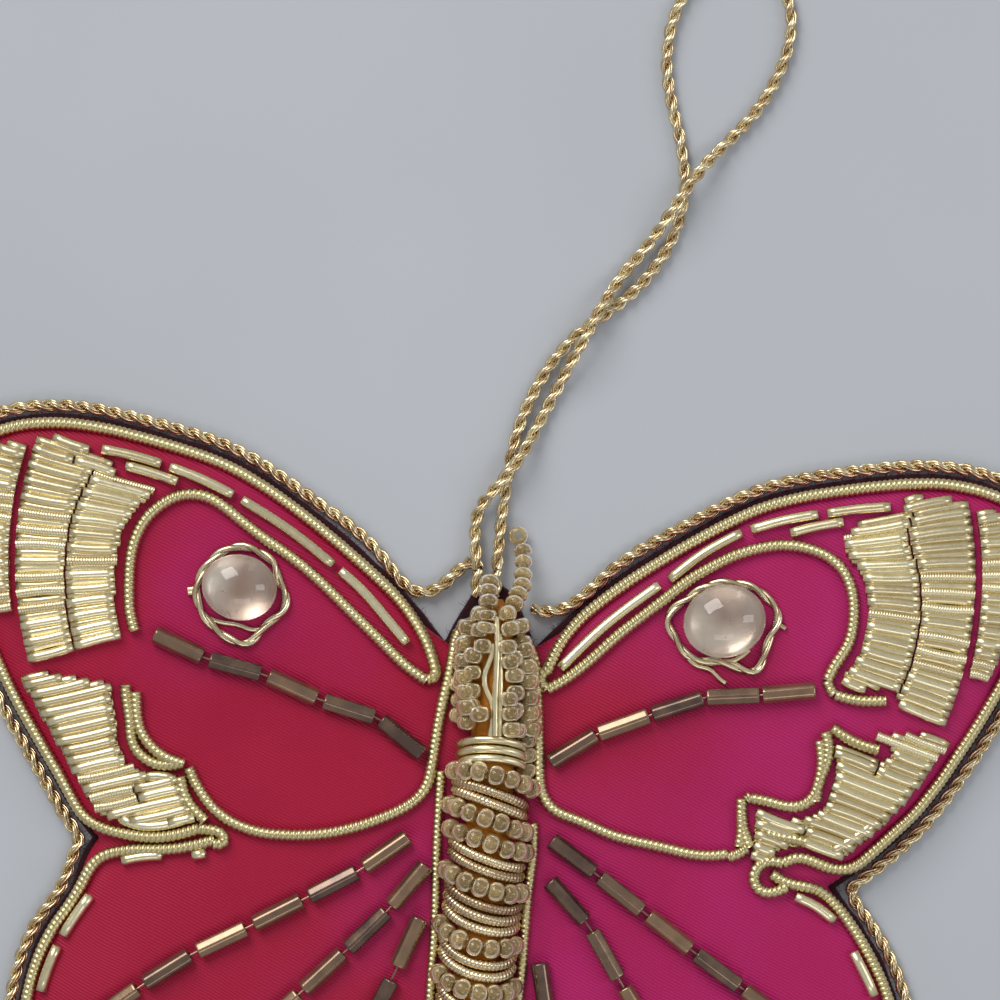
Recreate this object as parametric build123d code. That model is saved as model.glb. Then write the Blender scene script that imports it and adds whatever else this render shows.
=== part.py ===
from build123d import *
import math
import os

os.makedirs("parts", exist_ok=True)

# Padded satin butterfly that lies on its back: +Z up, +Y to the head, origin on the table
# under the middle of the body. Millimetres.

# wings
wing_half_span = 69.0
upper_wing_height = 39.0
lower_wing_height = 64.0
back_thickness = 1.0
back_margin = 0.5
card_thickness = 0.6
card_inset = 2.2
satin_thickness = 0.35
turned_edge_height = 2.1
rim_width = 4.4
rim_rise = 2.1
crown_rise = 0.7
seat_gap = 0.16
wing_root_share = 0.08
wing_root_gap = 0.22
ring_steps = 18

# metal work
coil_diameter = 1.5
side_coil_diameter = 1.25
coil_inset = 0.75
second_row_inset = 2.3
cut_tube_diameter = 1.2
cut_tube_length = 7.0
cut_tube_gap = 0.35
tube_side_gap = 0.16
edge_cord_diameter = 1.75
edge_cord_gap = 0.15
station_length = 3.6
edge_station_length = 4.0
stretch_stations = 16

# beads and pebbles
bugle_diameter = 2.1
bugle_bore = 1.0
bugle_length = 6.6
bugle_gap = 0.22
seed_diameter = 2.5
seed_length = 1.95
antenna_seed_length = 1.45
seed_gap = 0.15
seed_profile_shares = [(-0.5, 0.66), (0.0, 1.0), (0.5, 0.66)]
pebble_length = 9.6
pebble_width = 8.4
pebble_height = 4.8
bezel_wire_diameter = 0.95
bezel_gap = 0.12
bezel_opening_wires = 3

# body
body_top_share = 0.518
body_tail_share = 0.794
padding_radius = 2.8
body_rise = 1.2
head_tab_width = 13.0
head_tab_tip_width = 5.6
head_tab_past_body = 1.7
head_tab_corner = 1.6
waist_at = 1.7
thorax_wire_diameter = 0.85
band_diameter = 1.25
row_gap = 0.25
band_steps = 6
padding_steps = 8
row_bow = 0.6
row_tilt = 0.8
waist_bow = 1.2

# hanging loop
loop_cord_diameter = 1.6
loop_past_body = 3.698
loop_seat_gap = 0.05
tail_gap = 0.25

# The body reaches as far up and down between the wings as their heights say
body_top = upper_wing_height * body_top_share
body_length = body_top + lower_wing_height * body_tail_share
head_tab_reach = body_top + head_tab_past_body
loop_hinge_y = body_top + loop_past_body
wing_root = padding_radius + seed_diameter + wing_root_gap

# Wing outline, head to notch and notch to tail, as shares of the half span and of the wing's height
upper_outline_shares = [
    (0.064, 0.359), (0.116, 0.418), (0.217, 0.590), (0.351, 0.762), (0.484, 0.895), (0.628, 0.964),
    (0.754, 1.000), (0.870, 0.990), (0.961, 0.913), (1.000, 0.756), (0.980, 0.538), (0.928, 0.308),
    (0.862, 0.090), (0.794, -0.056),
]
notch_shares = {
    1: [(0.729, -0.131), (0.687, -0.170), (0.649, -0.203), (0.681, -0.247)],
    -1: [(0.748, -0.131), (0.722, -0.170), (0.690, -0.206), (0.710, -0.250)],
}
lower_outline_shares = [
    (0.722, -0.303), (0.765, -0.383), (0.797, -0.484), (0.806, -0.602), (0.774, -0.727),
    (0.703, -0.844), (0.601, -0.938), (0.486, -0.991), (0.370, -1.000), (0.254, -0.953),
    (0.152, -0.872), (0.052, -0.789),
]
crown_spine_shares = [(0.435, 0.333), (0.145, -0.094), (0.406, -0.531)]
crown_pull_share = 0.72

# Coil lines of each wing, 1 for the right one and -1 for the left one
border_start_shares = {1: [(0.107, 0.302), (0.117, 0.352)], -1: [(0.0945, 0.275), (0.107, 0.335)]}
border_end_shares = {
    1: [(0.635, -0.161), (0.578, -0.145), (0.555, -0.158)],
    -1: [(0.640, -0.191), (0.572, -0.193), (0.501, -0.170)],
}
lower_border_start_shares = {
    1: [(0.536, -0.180), (0.565, -0.196), (0.620, -0.205), (0.651, -0.228)],
    -1: [(0.472, -0.190), (0.553, -0.215), (0.640, -0.225), (0.680, -0.243)],
}
eye_cell_shares = {
    1: [
        (0.109, 0.241), (0.136, 0.272), (0.183, 0.344), (0.233, 0.436), (0.286, 0.518),
        (0.336, 0.600), (0.406, 0.687), (0.458, 0.731), (0.512, 0.754), (0.567, 0.749),
        (0.613, 0.713), (0.643, 0.641), (0.652, 0.538), (0.643, 0.441), (0.622, 0.379),
        (0.612, 0.333),
    ],
    -1: [
        (0.110, 0.244), (0.142, 0.277), (0.190, 0.346), (0.258, 0.451), (0.316, 0.538),
        (0.372, 0.610), (0.430, 0.672), (0.477, 0.728), (0.516, 0.772), (0.552, 0.787),
        (0.588, 0.772), (0.623, 0.726), (0.648, 0.659), (0.659, 0.562), (0.658, 0.464),
        (0.652, 0.385), (0.642, 0.338),
    ],
}
cord_head_shares = {
    1: [(0.072, 0.494), (0.097, 0.484), (0.130, 0.500)],
    -1: [(0.068, 0.602), (0.097, 0.541), (0.135, 0.518), (0.172, 0.555)],
}
eye_cell_tail_shares = {1: [(0.628, 0.290), (0.667, 0.276), (0.720, 0.282)], -1: []}
wing_coil_shares = {
    1: [
        [
            (0.030, 0.442), (0.052, 0.405), (0.077, 0.356), (0.088, 0.269), (0.094, 0.179),
            (0.099, 0.092), (0.104, -0.008), (0.111, -0.052), (0.132, -0.083), (0.175, -0.100),
            (0.241, -0.125), (0.314, -0.139), (0.387, -0.152), (0.428, -0.153), (0.454, -0.148),
        ],
        [(0.475, -0.132), (0.477, -0.100), (0.474, -0.066)],
        [
            (0.490, -0.036), (0.520, -0.039), (0.562, -0.048), (0.594, -0.037), (0.609, -0.003),
            (0.613, 0.077), (0.606, 0.140),
        ],
        [(0.626, 0.184), (0.662, 0.149), (0.713, 0.123)],
    ],
    -1: [
        [
            (0.025, 0.446), (0.056, 0.415), (0.065, 0.346), (0.071, 0.249), (0.078, 0.182),
            (0.086, 0.054), (0.090, -0.016), (0.100, -0.066), (0.129, -0.098), (0.177, -0.127),
            (0.248, -0.156), (0.338, -0.170), (0.401, -0.167), (0.439, -0.155), (0.477, -0.130),
            (0.500, -0.103), (0.517, -0.078),
        ],
        [
            (0.543, -0.047), (0.581, -0.052), (0.612, -0.039), (0.632, -0.016), (0.639, 0.049),
            (0.648, 0.113), (0.652, 0.164),
        ],
    ],
}
side_coil_shares = {
    1: [
        (0.101, -0.113), (0.104, -0.188), (0.101, -0.234), (0.099, -0.355), (0.096, -0.469),
        (0.083, -0.594), (0.060, -0.703), (0.038, -0.769),
    ],
    -1: [
        (0.072, -0.025), (0.071, -0.156), (0.066, -0.281), (0.064, -0.344), (0.064, -0.469),
        (0.061, -0.594), (0.051, -0.703), (0.040, -0.769),
    ],
}
leading_tube_shares = {
    1: [
        [(0.130, 0.312), (0.203, 0.454), (0.298, 0.600)],
        [(0.316, 0.620), (0.370, 0.705), (0.440, 0.785)],
        [(0.457, 0.797), (0.515, 0.834), (0.575, 0.861)],
        [(0.592, 0.866), (0.645, 0.886), (0.705, 0.902)],
        [(0.528, 0.795), (0.575, 0.822), (0.622, 0.842)],
    ],
    -1: [
        [(0.150, 0.358), (0.200, 0.450), (0.240, 0.520), (0.280, 0.575)],
        [(0.294, 0.592), (0.338, 0.648), (0.400, 0.717), (0.466, 0.779)],
        [(0.483, 0.793), (0.545, 0.838), (0.600, 0.868)],
        [(0.617, 0.876), (0.665, 0.895), (0.725, 0.910)],
        [(0.585, 0.822), (0.632, 0.845), (0.680, 0.862)],
    ],
}

# Bead rays, pebbles and the stepped patch
upper_ray_shares = {
    1: [(0.122, 0.008), (0.203, 0.110), (0.299, 0.185), (0.399, 0.254), (0.506, 0.274), (0.594, 0.300)],
    -1: [(0.103, 0.000), (0.180, 0.105), (0.281, 0.149), (0.378, 0.215), (0.507, 0.264), (0.613, 0.336)],
}
lower_ray_shares = {
    1: [
        [(0.130, -0.141), (0.209, -0.195), (0.257, -0.235), (0.348, -0.297), (0.433, -0.363),
         (0.533, -0.430), (0.609, -0.492), (0.670, -0.550)],
        [(0.129, -0.216), (0.193, -0.275), (0.246, -0.363), (0.301, -0.444), (0.355, -0.531),
         (0.406, -0.625)],
        [(0.125, -0.363), (0.143, -0.459), (0.165, -0.560), (0.181, -0.656)],
    ],
    -1: [
        [(0.117, -0.152), (0.201, -0.225), (0.277, -0.275), (0.355, -0.327), (0.436, -0.375),
         (0.526, -0.434), (0.612, -0.506), (0.672, -0.560)],
        [(0.083, -0.203), (0.138, -0.288), (0.210, -0.369), (0.252, -0.436), (0.330, -0.500),
         (0.384, -0.580), (0.430, -0.660)],
        [(0.087, -0.300), (0.125, -0.410), (0.154, -0.481), (0.190, -0.580), (0.217, -0.672)],
    ],
}
pebble_place_shares = {1: (0.419, 0.500), -1: (0.458, 0.500)}
pebble_scale = {1: 1.08, -1: 0.98}
pebble_bearing = {1: 17.0, -1: 8.0}
pebble_profile_shares = [(0.0, 0.74), (0.14, 0.93), (0.36, 1.0), (0.6, 0.92), (0.82, 0.68), (1.0, 0.22)]
pebble_facets = 18
bezel_stations = 20
knot_bearing = {1: -70.0, -1: -40.0}
fan_centre_share = (0.174, 0.615)
fan_reach_share = (0.46, 0.70)
fan_bearings = (-18.5, 19.0)
fan_patch_gap = 0.1
patch_corner_shares = {
    1: [(0.490, -0.165), (0.490, -0.055), (0.610, -0.055), (0.625, 0.160), (0.92, 0.200), (0.76, -0.170)],
    -1: [(0.495, -0.165), (0.545, -0.070), (0.640, -0.055), (0.655, 0.160), (0.92, 0.200), (0.78, -0.170)],
}
patch_row_bearing = -17.0

# Body: place along its length, then its middle and its radius as shares of the padding's radius
body_station_shares = [
    (0.00, 0.10, 0.45), (0.05, 0.17, 0.80), (0.13, 0.34, 0.98), (0.27, 0.47, 1.00), (0.50, 0.49, 1.00),
    (0.66, 0.39, 1.00), (0.80, 0.30, 0.86), (0.92, 0.10, 0.58), (1.00, 0.00, 0.30),
]
abdomen_rows = (
    "bead coil coil bead bead coil coil bead coil coil coil bead coil coil bead "
    "coil coil coil bead coil coil bead coil coil"
).split()
settle_rows = 6
thorax_column_bearings = (-80.0, -45.0, 36.0, 70.0)
thorax_start_share = (0.075, 0.085, 0.085, 0.075)
row_half_bearing = 72.0
antenna_shares = {
    1: [
        (0.031, -0.018, 0.88), (0.043, 0.012, 0.04), (0.050, 0.049, -0.54), (0.049, 0.072, -0.86),
        (0.042, 0.097, -1.21),
    ],
    -1: [(-0.010, -0.075, 1.30), (-0.009, -0.040, 1.21), (-0.008, 0.000, 0.96), (-0.009, 0.036, 0.06)],
}


def wing_place(side, shares):
    """A place on a wing. Beside the body it keeps its distance from it, whatever the span is."""
    across, along = shares
    if across < wing_root_share:
        x = wing_root * across / wing_root_share
    else:
        past = (across - wing_root_share) / (1 - wing_root_share)
        x = wing_root + past * (wing_half_span - wing_root)
    height = upper_wing_height if along > 0 else lower_wing_height
    return (side * x, along * height)


def outline_runs():
    """Control points of the four wing edges, clockwise from the head's right corner."""
    runs = []
    for side in (1, -1):
        upper = [wing_place(side, s) for s in upper_outline_shares + notch_shares[side][:3]]
        lower = [wing_place(side, s) for s in notch_shares[side][2:] + lower_outline_shares]
        runs.append((upper, lower))
    (right_upper, right_lower), (left_upper, left_lower) = runs
    return [right_upper, right_lower, left_lower[::-1], left_upper[::-1]]


def inset_runs(inset):
    """The same runs moved inwards along the mitred normal at every control point."""
    runs = outline_runs()
    ring = []
    for run in runs:
        ring.extend(run if not ring or ring[-1] != run[0] else run[1:])
    moved = {}
    for i, point in enumerate(ring):
        before, after = Vector(*ring[i - 1]), Vector(*ring[(i + 1) % len(ring)])
        here = Vector(*point)
        first, second = (here - before).normalized(), (after - here).normalized()
        normal = Vector(first.Y + second.Y, -first.X - second.X).normalized()
        square = max(0.55, normal.dot(Vector(first.Y, -first.X)))
        step = here + normal * (inset / square)
        moved[point] = (step.X, step.Y)
    return [[moved[point] for point in run] for run in runs]


def sampled(runs):
    """The ring of four edges as a closed list of points."""
    points = []
    for run in runs:
        edge = Edge.make_spline([Vector(x, y) for x, y in run])
        spots = [edge.position_at(k / ring_steps) for k in range(ring_steps + 1)]
        places = [(spot.X, spot.Y) for spot in spots]
        points.extend(places if not points or points[-1] != run[0] else places[1:])
        points[-1] = run[-1]
    return points


def ring_at(runs, height):
    return [Vector(x, y, height) for x, y in sampled(runs)]


def facet(points):
    return Face(Wire.make_polygon(points, close=True))


def strip(lower, upper):
    """Flat facets between two rings of equally many points."""
    facets = []
    for i in range(len(lower)):
        facets.append(facet([lower[i - 1], lower[i], upper[i]]))
        facets.append(facet([lower[i - 1], upper[i], upper[i - 1]]))
    return facets


def strips(rings):
    return [f for lower, upper in zip(rings, rings[1:]) for f in strip(lower, upper)]


def stacked(rings):
    """Solid of flat facets through a stack of rings, closed at both ends."""
    return Solid(Shell([facet(rings[0]), facet(rings[-1])] + strips(rings)))


def nearest_on_spine(x, y):
    spine = [Vector(*wing_place(1 if x > 0 else -1, s)) for s in crown_spine_shares]
    best = None
    for a, b in zip(spine, spine[1:]):
        along = max(0.0, min(1.0, (Vector(x, y) - a).dot(b - a) / (b - a).dot(b - a)))
        foot = a + (b - a) * along
        if best is None or (foot - Vector(x, y)).length < (best - Vector(x, y)).length:
            best = foot
    return best


def crown_runs():
    runs = []
    for run in outline_runs():
        pulled = []
        for x, y in run:
            foot = nearest_on_spine(x, y)
            pulled.append((x + (foot.X - x) * crown_pull_share, y + (foot.Y - y) * crown_pull_share))
        runs.append(pulled)
    return runs


rim_profile_shares = [(0.0, 0.0), (0.30, 0.48), (0.65, 0.84), (1.0, 1.0)]
body_level = turned_edge_height + rim_rise + body_rise


def pad_rings(skin):
    """Rings of the padded wing form, smaller all round by the skin's thickness."""
    rings = [ring_at(inset_runs(skin), back_thickness)]
    for across, up in rim_profile_shares:
        height = turned_edge_height + rim_rise * up - skin
        rings.append(ring_at(inset_runs(skin + rim_width * across), height))
    rings.append(ring_at(crown_runs(), turned_edge_height + rim_rise + crown_rise - skin))
    return rings


def line_distance(x, y, points, closed=False):
    best = 1e9
    pairs = list(zip(points, points[1:]))
    if closed:
        pairs.append((points[-1], points[0]))
    for (ax, ay), (bx, by) in pairs:
        dx, dy = bx - ax, by - ay
        size = dx * dx + dy * dy
        along = 0.0 if size == 0 else max(0.0, min(1.0, ((x - ax) * dx + (y - ay) * dy) / size))
        best = min(best, math.hypot(ax + along * dx - x, ay + along * dy - y))
    return best


def inside_ring(x, y, points):
    inside = False
    for i, (ax, ay) in enumerate(points):
        bx, by = points[i - 1]
        if (ay > y) != (by > y) and x < (bx - ax) * (y - ay) / (by - ay) + ax:
            inside = not inside
    return inside


outline_ring = sampled(outline_runs())
crown_ring = sampled(crown_runs())


def edge_depth(x, y):
    depth = line_distance(x, y, outline_ring, closed=True)
    return depth if inside_ring(x, y, outline_ring) else -depth


def satin_height(x, y):
    """Height of the satin: the rim's profile, then the slow rise to the crown."""
    depth = edge_depth(x, y)
    if depth <= 0:
        return back_thickness
    for (a, up_a), (b, up_b) in zip(rim_profile_shares, rim_profile_shares[1:]):
        if depth < b * rim_width:
            share = (depth / rim_width - a) / (b - a)
            return turned_edge_height + rim_rise * (up_a + (up_b - up_a) * share)
    if inside_ring(x, y, crown_ring):
        return turned_edge_height + rim_rise + crown_rise
    past = depth - rim_width
    share = past / (past + line_distance(x, y, crown_ring, closed=True))
    return turned_edge_height + rim_rise + crown_rise * share


def body_station(y):
    """Middle and padding radius of the body at a place along its length."""
    share = max(0.0, min(1.0, (body_top - y) / body_length))
    for (a, mid_a, r_a), (b, mid_b, r_b) in zip(body_station_shares, body_station_shares[1:]):
        if share <= b:
            f = (share - a) / (b - a)
            return (mid_a + (mid_b - mid_a) * f) * padding_radius, (r_a + (r_b - r_a) * f) * padding_radius
    return body_station_shares[-1][1] * padding_radius, body_station_shares[-1][2] * padding_radius


def surface_height(x, y):
    """Height of the satin or, where it is higher, of the body's padding."""
    height = satin_height(x, y)
    middle, radius = body_station(y)
    if body_top - body_length < y < body_top and abs(x - middle) < radius:
        height = max(height, body_level + math.sqrt(radius**2 - (x - middle) ** 2))
    return height


def seat_height(x, y, radius):
    """Height of the middle of a round piece that lies on the work without cutting into it."""
    best = surface_height(x, y) + radius
    directions = 12
    for reach_share in (0.35, 0.6, 0.87):
        rise = radius * math.sqrt(1 - reach_share**2)
        for k in range(directions):
            turn = 2 * math.pi * k / directions
            spot = (x + radius * reach_share * math.cos(turn), y + radius * reach_share * math.sin(turn))
            best = max(best, surface_height(*spot) + rise)
    return best + seat_gap


def seated(places, radius):
    """The places at their seat heights, lifted where the straight runs between them would cut in."""
    heights = [seat_height(x, y, radius) for x, y in places]
    for i, (near, far) in enumerate(zip(places, places[1:])):
        short = 0.0
        for share in (1 / 6, 1 / 3, 1 / 2, 2 / 3, 5 / 6):
            spot = [a + (b - a) * share for a, b in zip(near, far)]
            run = heights[i] * (1 - share) + heights[i + 1] * share
            short = max(short, seat_height(*spot, radius) - run)
        heights[i] += short
        heights[i + 1] += short
    return [(x, y, z) for (x, y), z in zip(places, heights)]


def section(centre, tangent, radius, sides=6):
    side = Vector(-tangent.Y, tangent.X, 0)
    if side.length < 1e-6:
        side = Vector(1, 0, 0)
    side = side.normalized()
    up = side.cross(tangent).normalized() * -1
    corners = []
    for k in range(sides):
        turn = 2 * math.pi * k / sides
        corners.append(centre + side * (radius * math.cos(turn)) + up * (radius * math.sin(turn)))
    return corners


def section_wire(centre, tangent, radius, sides=6):
    return Wire.make_polygon(section(centre, tangent, radius, sides), close=True)


def tube_tangents(points):
    """Direction of a tube at each of its points, halfway between the runs that meet there."""
    tangents = []
    for i, point in enumerate(points):
        before, after = points[max(i - 1, 0)], points[min(i + 1, len(points) - 1)]
        incoming = (point - before).normalized() if i > 0 else (after - point).normalized()
        outgoing = (after - point).normalized() if i < len(points) - 1 else incoming
        tangents.append((incoming + outgoing).normalized())
    return tangents


def arched_tube(points, radius):
    """Tube of flat facets that arches over the body, where its runs twist."""
    points = [Vector(*p) for p in points]
    return stacked([section(p, t, radius) for p, t in zip(points, tube_tangents(points))])


def faceted_tube(points, radius, sides=6):
    """Tube of flat facets through the points, lofted in short stretches that are joined."""
    points = [Vector(*p) for p in points]
    wires = [section_wire(p, t, radius, sides) for p, t in zip(points, tube_tangents(points))]
    stretches = math.ceil((len(wires) - 1) / stretch_stations)
    stops = [round(k * (len(wires) - 1) / stretches) for k in range(stretches + 1)]
    solids = [Solid.make_loft(wires[a : b + 1], ruled=True) for a, b in zip(stops, stops[1:])]
    if len(solids) == 1:
        return solids[0]
    return (Part() + solids).solid()


def spline_stations(places, spacing):
    """Evenly spaced plan points along a smooth line through the given places."""
    edge = Edge.make_spline([Vector(x, y) for x, y in places])
    count = max(2, math.ceil(edge.length / spacing))
    spots = [edge.position_at(k / count) for k in range(count + 1)]
    return [(spot.X, spot.Y) for spot in spots]


def laid_tube(places, diameter, spacing=station_length):
    """A tube that follows a smooth line over the satin."""
    stations = spline_stations(places, spacing)
    return faceted_tube(seated(stations, diameter / 2), diameter / 2)


def write(name, solids):
    shape = solids[0] if len(solids) == 1 else Compound(children=solids)
    shape.label = name
    export_step(shape, os.path.join("parts", name + ".step"))


def side_name(side):
    return "right" if side > 0 else "left"


# Backing, card, wadding and satin
def backing():
    """Velvet cut to the wings with a margin, and a tongue that reaches past the head."""
    edge = facet(ring_at(inset_runs(-back_margin), 0))
    plate = Solid.extrude(edge, Vector(0, 0, back_thickness))
    foot = upper_outline_shares[0][1] * upper_wing_height - head_tab_corner
    half_foot, half_tip = head_tab_width / 2, head_tab_tip_width / 2
    shoulder = head_tab_reach - head_tab_corner
    right = [(half_foot, foot), (half_tip, shoulder), (half_tip - head_tab_corner, head_tab_reach)]
    left = [(-x, y) for x, y in right[::-1]]
    tongue = Polygon(*right, *left, align=None)
    return (Part() + plate + extrude(tongue, back_thickness)).solid()


outer_rings = pad_rings(0.0)
inner_rings = pad_rings(satin_thickness)
card_rings = [ring_at(inset_runs(card_inset), back_thickness + up) for up in (0, card_thickness)]
outer_form = stacked(outer_rings)
back_solid = backing()
satin_facets = strips(outer_rings) + strips(inner_rings) + strip(outer_rings[0], inner_rings[0])
satin_facets += [facet(outer_rings[-1]), facet(inner_rings[-1])]
wadding_facets = strips(inner_rings) + strips(card_rings) + strip(inner_rings[0], card_rings[0])
wadding_facets += [facet(inner_rings[-1]), facet(card_rings[-1])]
write("back_panel", [back_solid])
write("stiffener_card", [stacked(card_rings)])
write("wadding", [Solid(Shell(wadding_facets))])
write("front_panel", [Solid(Shell(satin_facets))])


def edge_cord():
    """Cord round the whole outline, from the right of the head to the left of it."""
    radius = edge_cord_diameter / 2
    runs = inset_runs(-back_margin - edge_cord_gap - radius)
    right_upper = [wing_place(1, s) for s in cord_head_shares[1]] + runs[0][2:]
    left_upper = runs[3][:-2] + [wing_place(-1, s) for s in cord_head_shares[-1]][::-1]
    lines = [right_upper, runs[1], [runs[1][-1], runs[2][0]], runs[2], left_upper]
    places = [p for line in lines for p in spline_stations(line, edge_station_length)[:-1]]
    places.append(left_upper[-1])
    return faceted_tube([(x, y, radius + seat_gap) for x, y in places], radius)


write("edge_cord", [edge_cord()])


# Coil lines
def border_line(side):
    runs = inset_runs(coil_inset)
    upper = runs[0] if side > 0 else runs[3][::-1]
    start = [wing_place(side, s) for s in border_start_shares[side]]
    end = [wing_place(side, s) for s in border_end_shares[side]]
    return start + upper[2:-1] + end


def lower_border_line(side, inset):
    runs = inset_runs(inset)
    lower = runs[1] if side > 0 else runs[2][::-1]
    return lower


border_lines = {}
cell_lines = {}
patch_lines = {}
for side in (1, -1):
    name = side_name(side)
    border_lines[side] = spline_stations(border_line(side), station_length)
    write("upper_border_coil_" + name, [laid_tube(border_line(side), coil_diameter)])

    start = [wing_place(side, s) for s in lower_border_start_shares[side]]
    lower_line = start + lower_border_line(side, coil_inset)[2:]
    write("lower_border_coil_" + name, [laid_tube(lower_line, coil_diameter)])

    pieces = [eye_cell_shares[side], eye_cell_tail_shares[side]]
    lines = [[wing_place(side, s) for s in piece] for piece in pieces if piece]
    cell_lines[side] = [spline_stations(line, station_length) for line in lines]
    write("eye_cell_coil_" + name, [laid_tube(line, coil_diameter) for line in lines])

    lines = [[wing_place(side, s) for s in piece] for piece in wing_coil_shares[side]]
    patch_lines[side] = [spline_stations(line, station_length) for line in lines]
    write("wing_coil_" + name, [laid_tube(line, coil_diameter) for line in lines])

    line = [wing_place(side, s) for s in side_coil_shares[side]]
    write("body_side_coil_" + name, [laid_tube(line, side_coil_diameter)])


# Cut metal tubes
def bearing_vector(degrees):
    return (math.cos(math.radians(degrees)), math.sin(math.radians(degrees)))


def free_runs(start, bearing, reach, is_free, step_share=0.25):
    """Stretches of a straight ray on which a tube has room."""
    step = cut_tube_diameter * step_share
    dx, dy = bearing_vector(bearing)
    runs, begin = [], None
    for k in range(math.ceil(reach / step) + 1):
        along = k * step
        free = along <= reach and is_free(start[0] + dx * along, start[1] + dy * along)
        if free and begin is None:
            begin = along
        if not free and begin is not None:
            runs.append((begin, along - step))
            begin = None
    return runs


def cut_tubes(start, bearing, reach, is_free):
    """Cut tubes laid end to end along each free stretch of a ray."""
    dx, dy = bearing_vector(bearing)
    solids = []
    for begin, end in free_runs(start, bearing, reach, is_free):
        count = max(1, round((end - begin) / cut_tube_length))
        pitch = (end - begin) / count
        if pitch < cut_tube_diameter * 2:
            continue
        for k in range(count):
            low = begin + k * pitch + cut_tube_gap / 2
            high = begin + (k + 1) * pitch - cut_tube_gap / 2
            ends = [(start[0] + dx * a, start[1] + dy * a) for a in (low, high)]
            radius = cut_tube_diameter / 2
            solids.append(faceted_tube(seated(ends, radius), radius))
    return solids


def clear_of(x, y, lines):
    needed = (coil_diameter + cut_tube_diameter) / 2 + cut_tube_gap
    return all(line_distance(x, y, line) > needed for line in lines)


rim_clearance = coil_inset + (coil_diameter + cut_tube_diameter) / 2 + cut_tube_gap


def corner_fan(side):
    """Courses of cut tubes that fan out from the eye cell to the wing's tip."""
    centre = wing_place(side, fan_centre_share)
    low_bearing, high_bearing = fan_bearings
    leading = [[wing_place(side, s) for s in piece] for piece in leading_tube_shares[side]]
    lines = cell_lines[side] + [border_lines[side]] + leading

    def is_free(x, y):
        return edge_depth(x, y) > rim_clearance and clear_of(x, y, lines)

    solids = []
    inner, outer = (share * wing_half_span for share in fan_reach_share)
    for near, far in ((inner, outer), (outer + cut_tube_gap, wing_half_span)):
        pitch = math.degrees((cut_tube_diameter + tube_side_gap) / near)
        count = int((high_bearing - low_bearing) / pitch)
        for k in range(count + 1):
            bearing = low_bearing + k * pitch
            dx, dy = bearing_vector(bearing)
            start = (centre[0] + side * dx * near, centre[1] + dy * near)
            turned = bearing if side > 0 else 180 - bearing
            solids.extend(cut_tubes(start, turned, far - near, is_free))
    return solids


def patch_rows(side):
    """Rows of cut tubes in the stepped patch at the wing's outer edge."""
    corners = [wing_place(side, s) for s in patch_corner_shares[side]]
    lines = patch_lines[side] + cell_lines[side] + [border_lines[side]]

    fan_x, fan_y = wing_place(side, fan_centre_share)
    fan_dx, fan_dy = bearing_vector(fan_bearings[0])

    def is_free(x, y):
        below_fan = side * (x - fan_x) * fan_dy - (y - fan_y) * fan_dx
        inside = inside_ring(x, y, corners) and edge_depth(x, y) > rim_clearance
        return inside and below_fan > cut_tube_diameter + fan_patch_gap and clear_of(x, y, lines)

    solids = []
    dx, dy = bearing_vector(patch_row_bearing)
    first = corners[0]
    height = corners[4][1] - corners[0][1] + (corners[4][0] - corners[0][0]) * side * dy / dx * -1
    pitch = cut_tube_diameter + tube_side_gap
    for k in range(int(height / pitch) + 1):
        start = (first[0], first[1] + k * pitch)
        turned = patch_row_bearing if side > 0 else 180 - patch_row_bearing
        solids.extend(cut_tubes(start, turned, wing_half_span / 2, is_free))
    return solids


def margin_tubes(side):
    """Long smooth tubes inside the lower wing's border coil."""
    edge = Edge.make_spline([Vector(x, y) for x, y in lower_border_line(side, second_row_inset)[2:]])
    count = int(edge.length / (cut_tube_length + cut_tube_gap))
    pitch = edge.length / count
    solids = []
    for k in range(count):
        low = (k * pitch + cut_tube_gap / 2) / edge.length
        high = ((k + 1) * pitch - cut_tube_gap / 2) / edge.length
        spots = [edge.position_at(s) for s in (low, (low + high) / 2, high)]
        radius = cut_tube_diameter / 2
        solids.append(faceted_tube(seated([(spot.X, spot.Y) for spot in spots], radius), radius))
    return solids


for side in (1, -1):
    name = side_name(side)
    lines = [[wing_place(side, s) for s in piece] for piece in leading_tube_shares[side]]
    write("leading_edge_tubes_" + name, [laid_tube(line, cut_tube_diameter) for line in lines])
    write("corner_tubes_" + name, corner_fan(side))
    write("patch_tubes_" + name, patch_rows(side))
    write("margin_tubes_" + name, margin_tubes(side))


# Bugle beads, threaded one after the other along each ray
def bugle(first, second):
    """Six-sided glass tube between two points, with its thread hole."""
    direction = (second - first).normalized()
    outer = [section_wire(spot, direction, bugle_diameter / 2) for spot in (first, second)]
    inner = [section_wire(spot, direction, bugle_bore / 2) for spot in (first, second)]
    tube = Solid.make_loft(outer, ruled=True)
    hole = Solid.make_loft(inner, ruled=True)
    return (Part() + tube - hole).solid()


def bead_ray(places):
    edge = Edge.make_spline([Vector(x, y) for x, y in places])
    count = max(1, int(edge.length / (bugle_length + bugle_gap)))
    pitch = edge.length / count
    solids = []
    for k in range(count):
        near = edge.position_at(k * pitch / edge.length)
        far = edge.position_at((k + 1) * pitch / edge.length)
        middle = (near + far) / 2
        reach = (far - near).normalized() * (bugle_length / 2)
        ends = [(spot.X, spot.Y) for spot in (middle - reach, middle + reach)]
        solids.append(bugle(*[Vector(*p) for p in seated(ends, bugle_diameter / 2)]))
    return solids


for side in (1, -1):
    name = side_name(side)
    write("upper_ray_bugles_" + name, bead_ray([wing_place(side, s) for s in upper_ray_shares[side]]))
    for number, ray in enumerate(lower_ray_shares[side], start=1):
        write(f"lower_ray_{number}_bugles_{name}", bead_ray([wing_place(side, s) for s in ray]))


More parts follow.
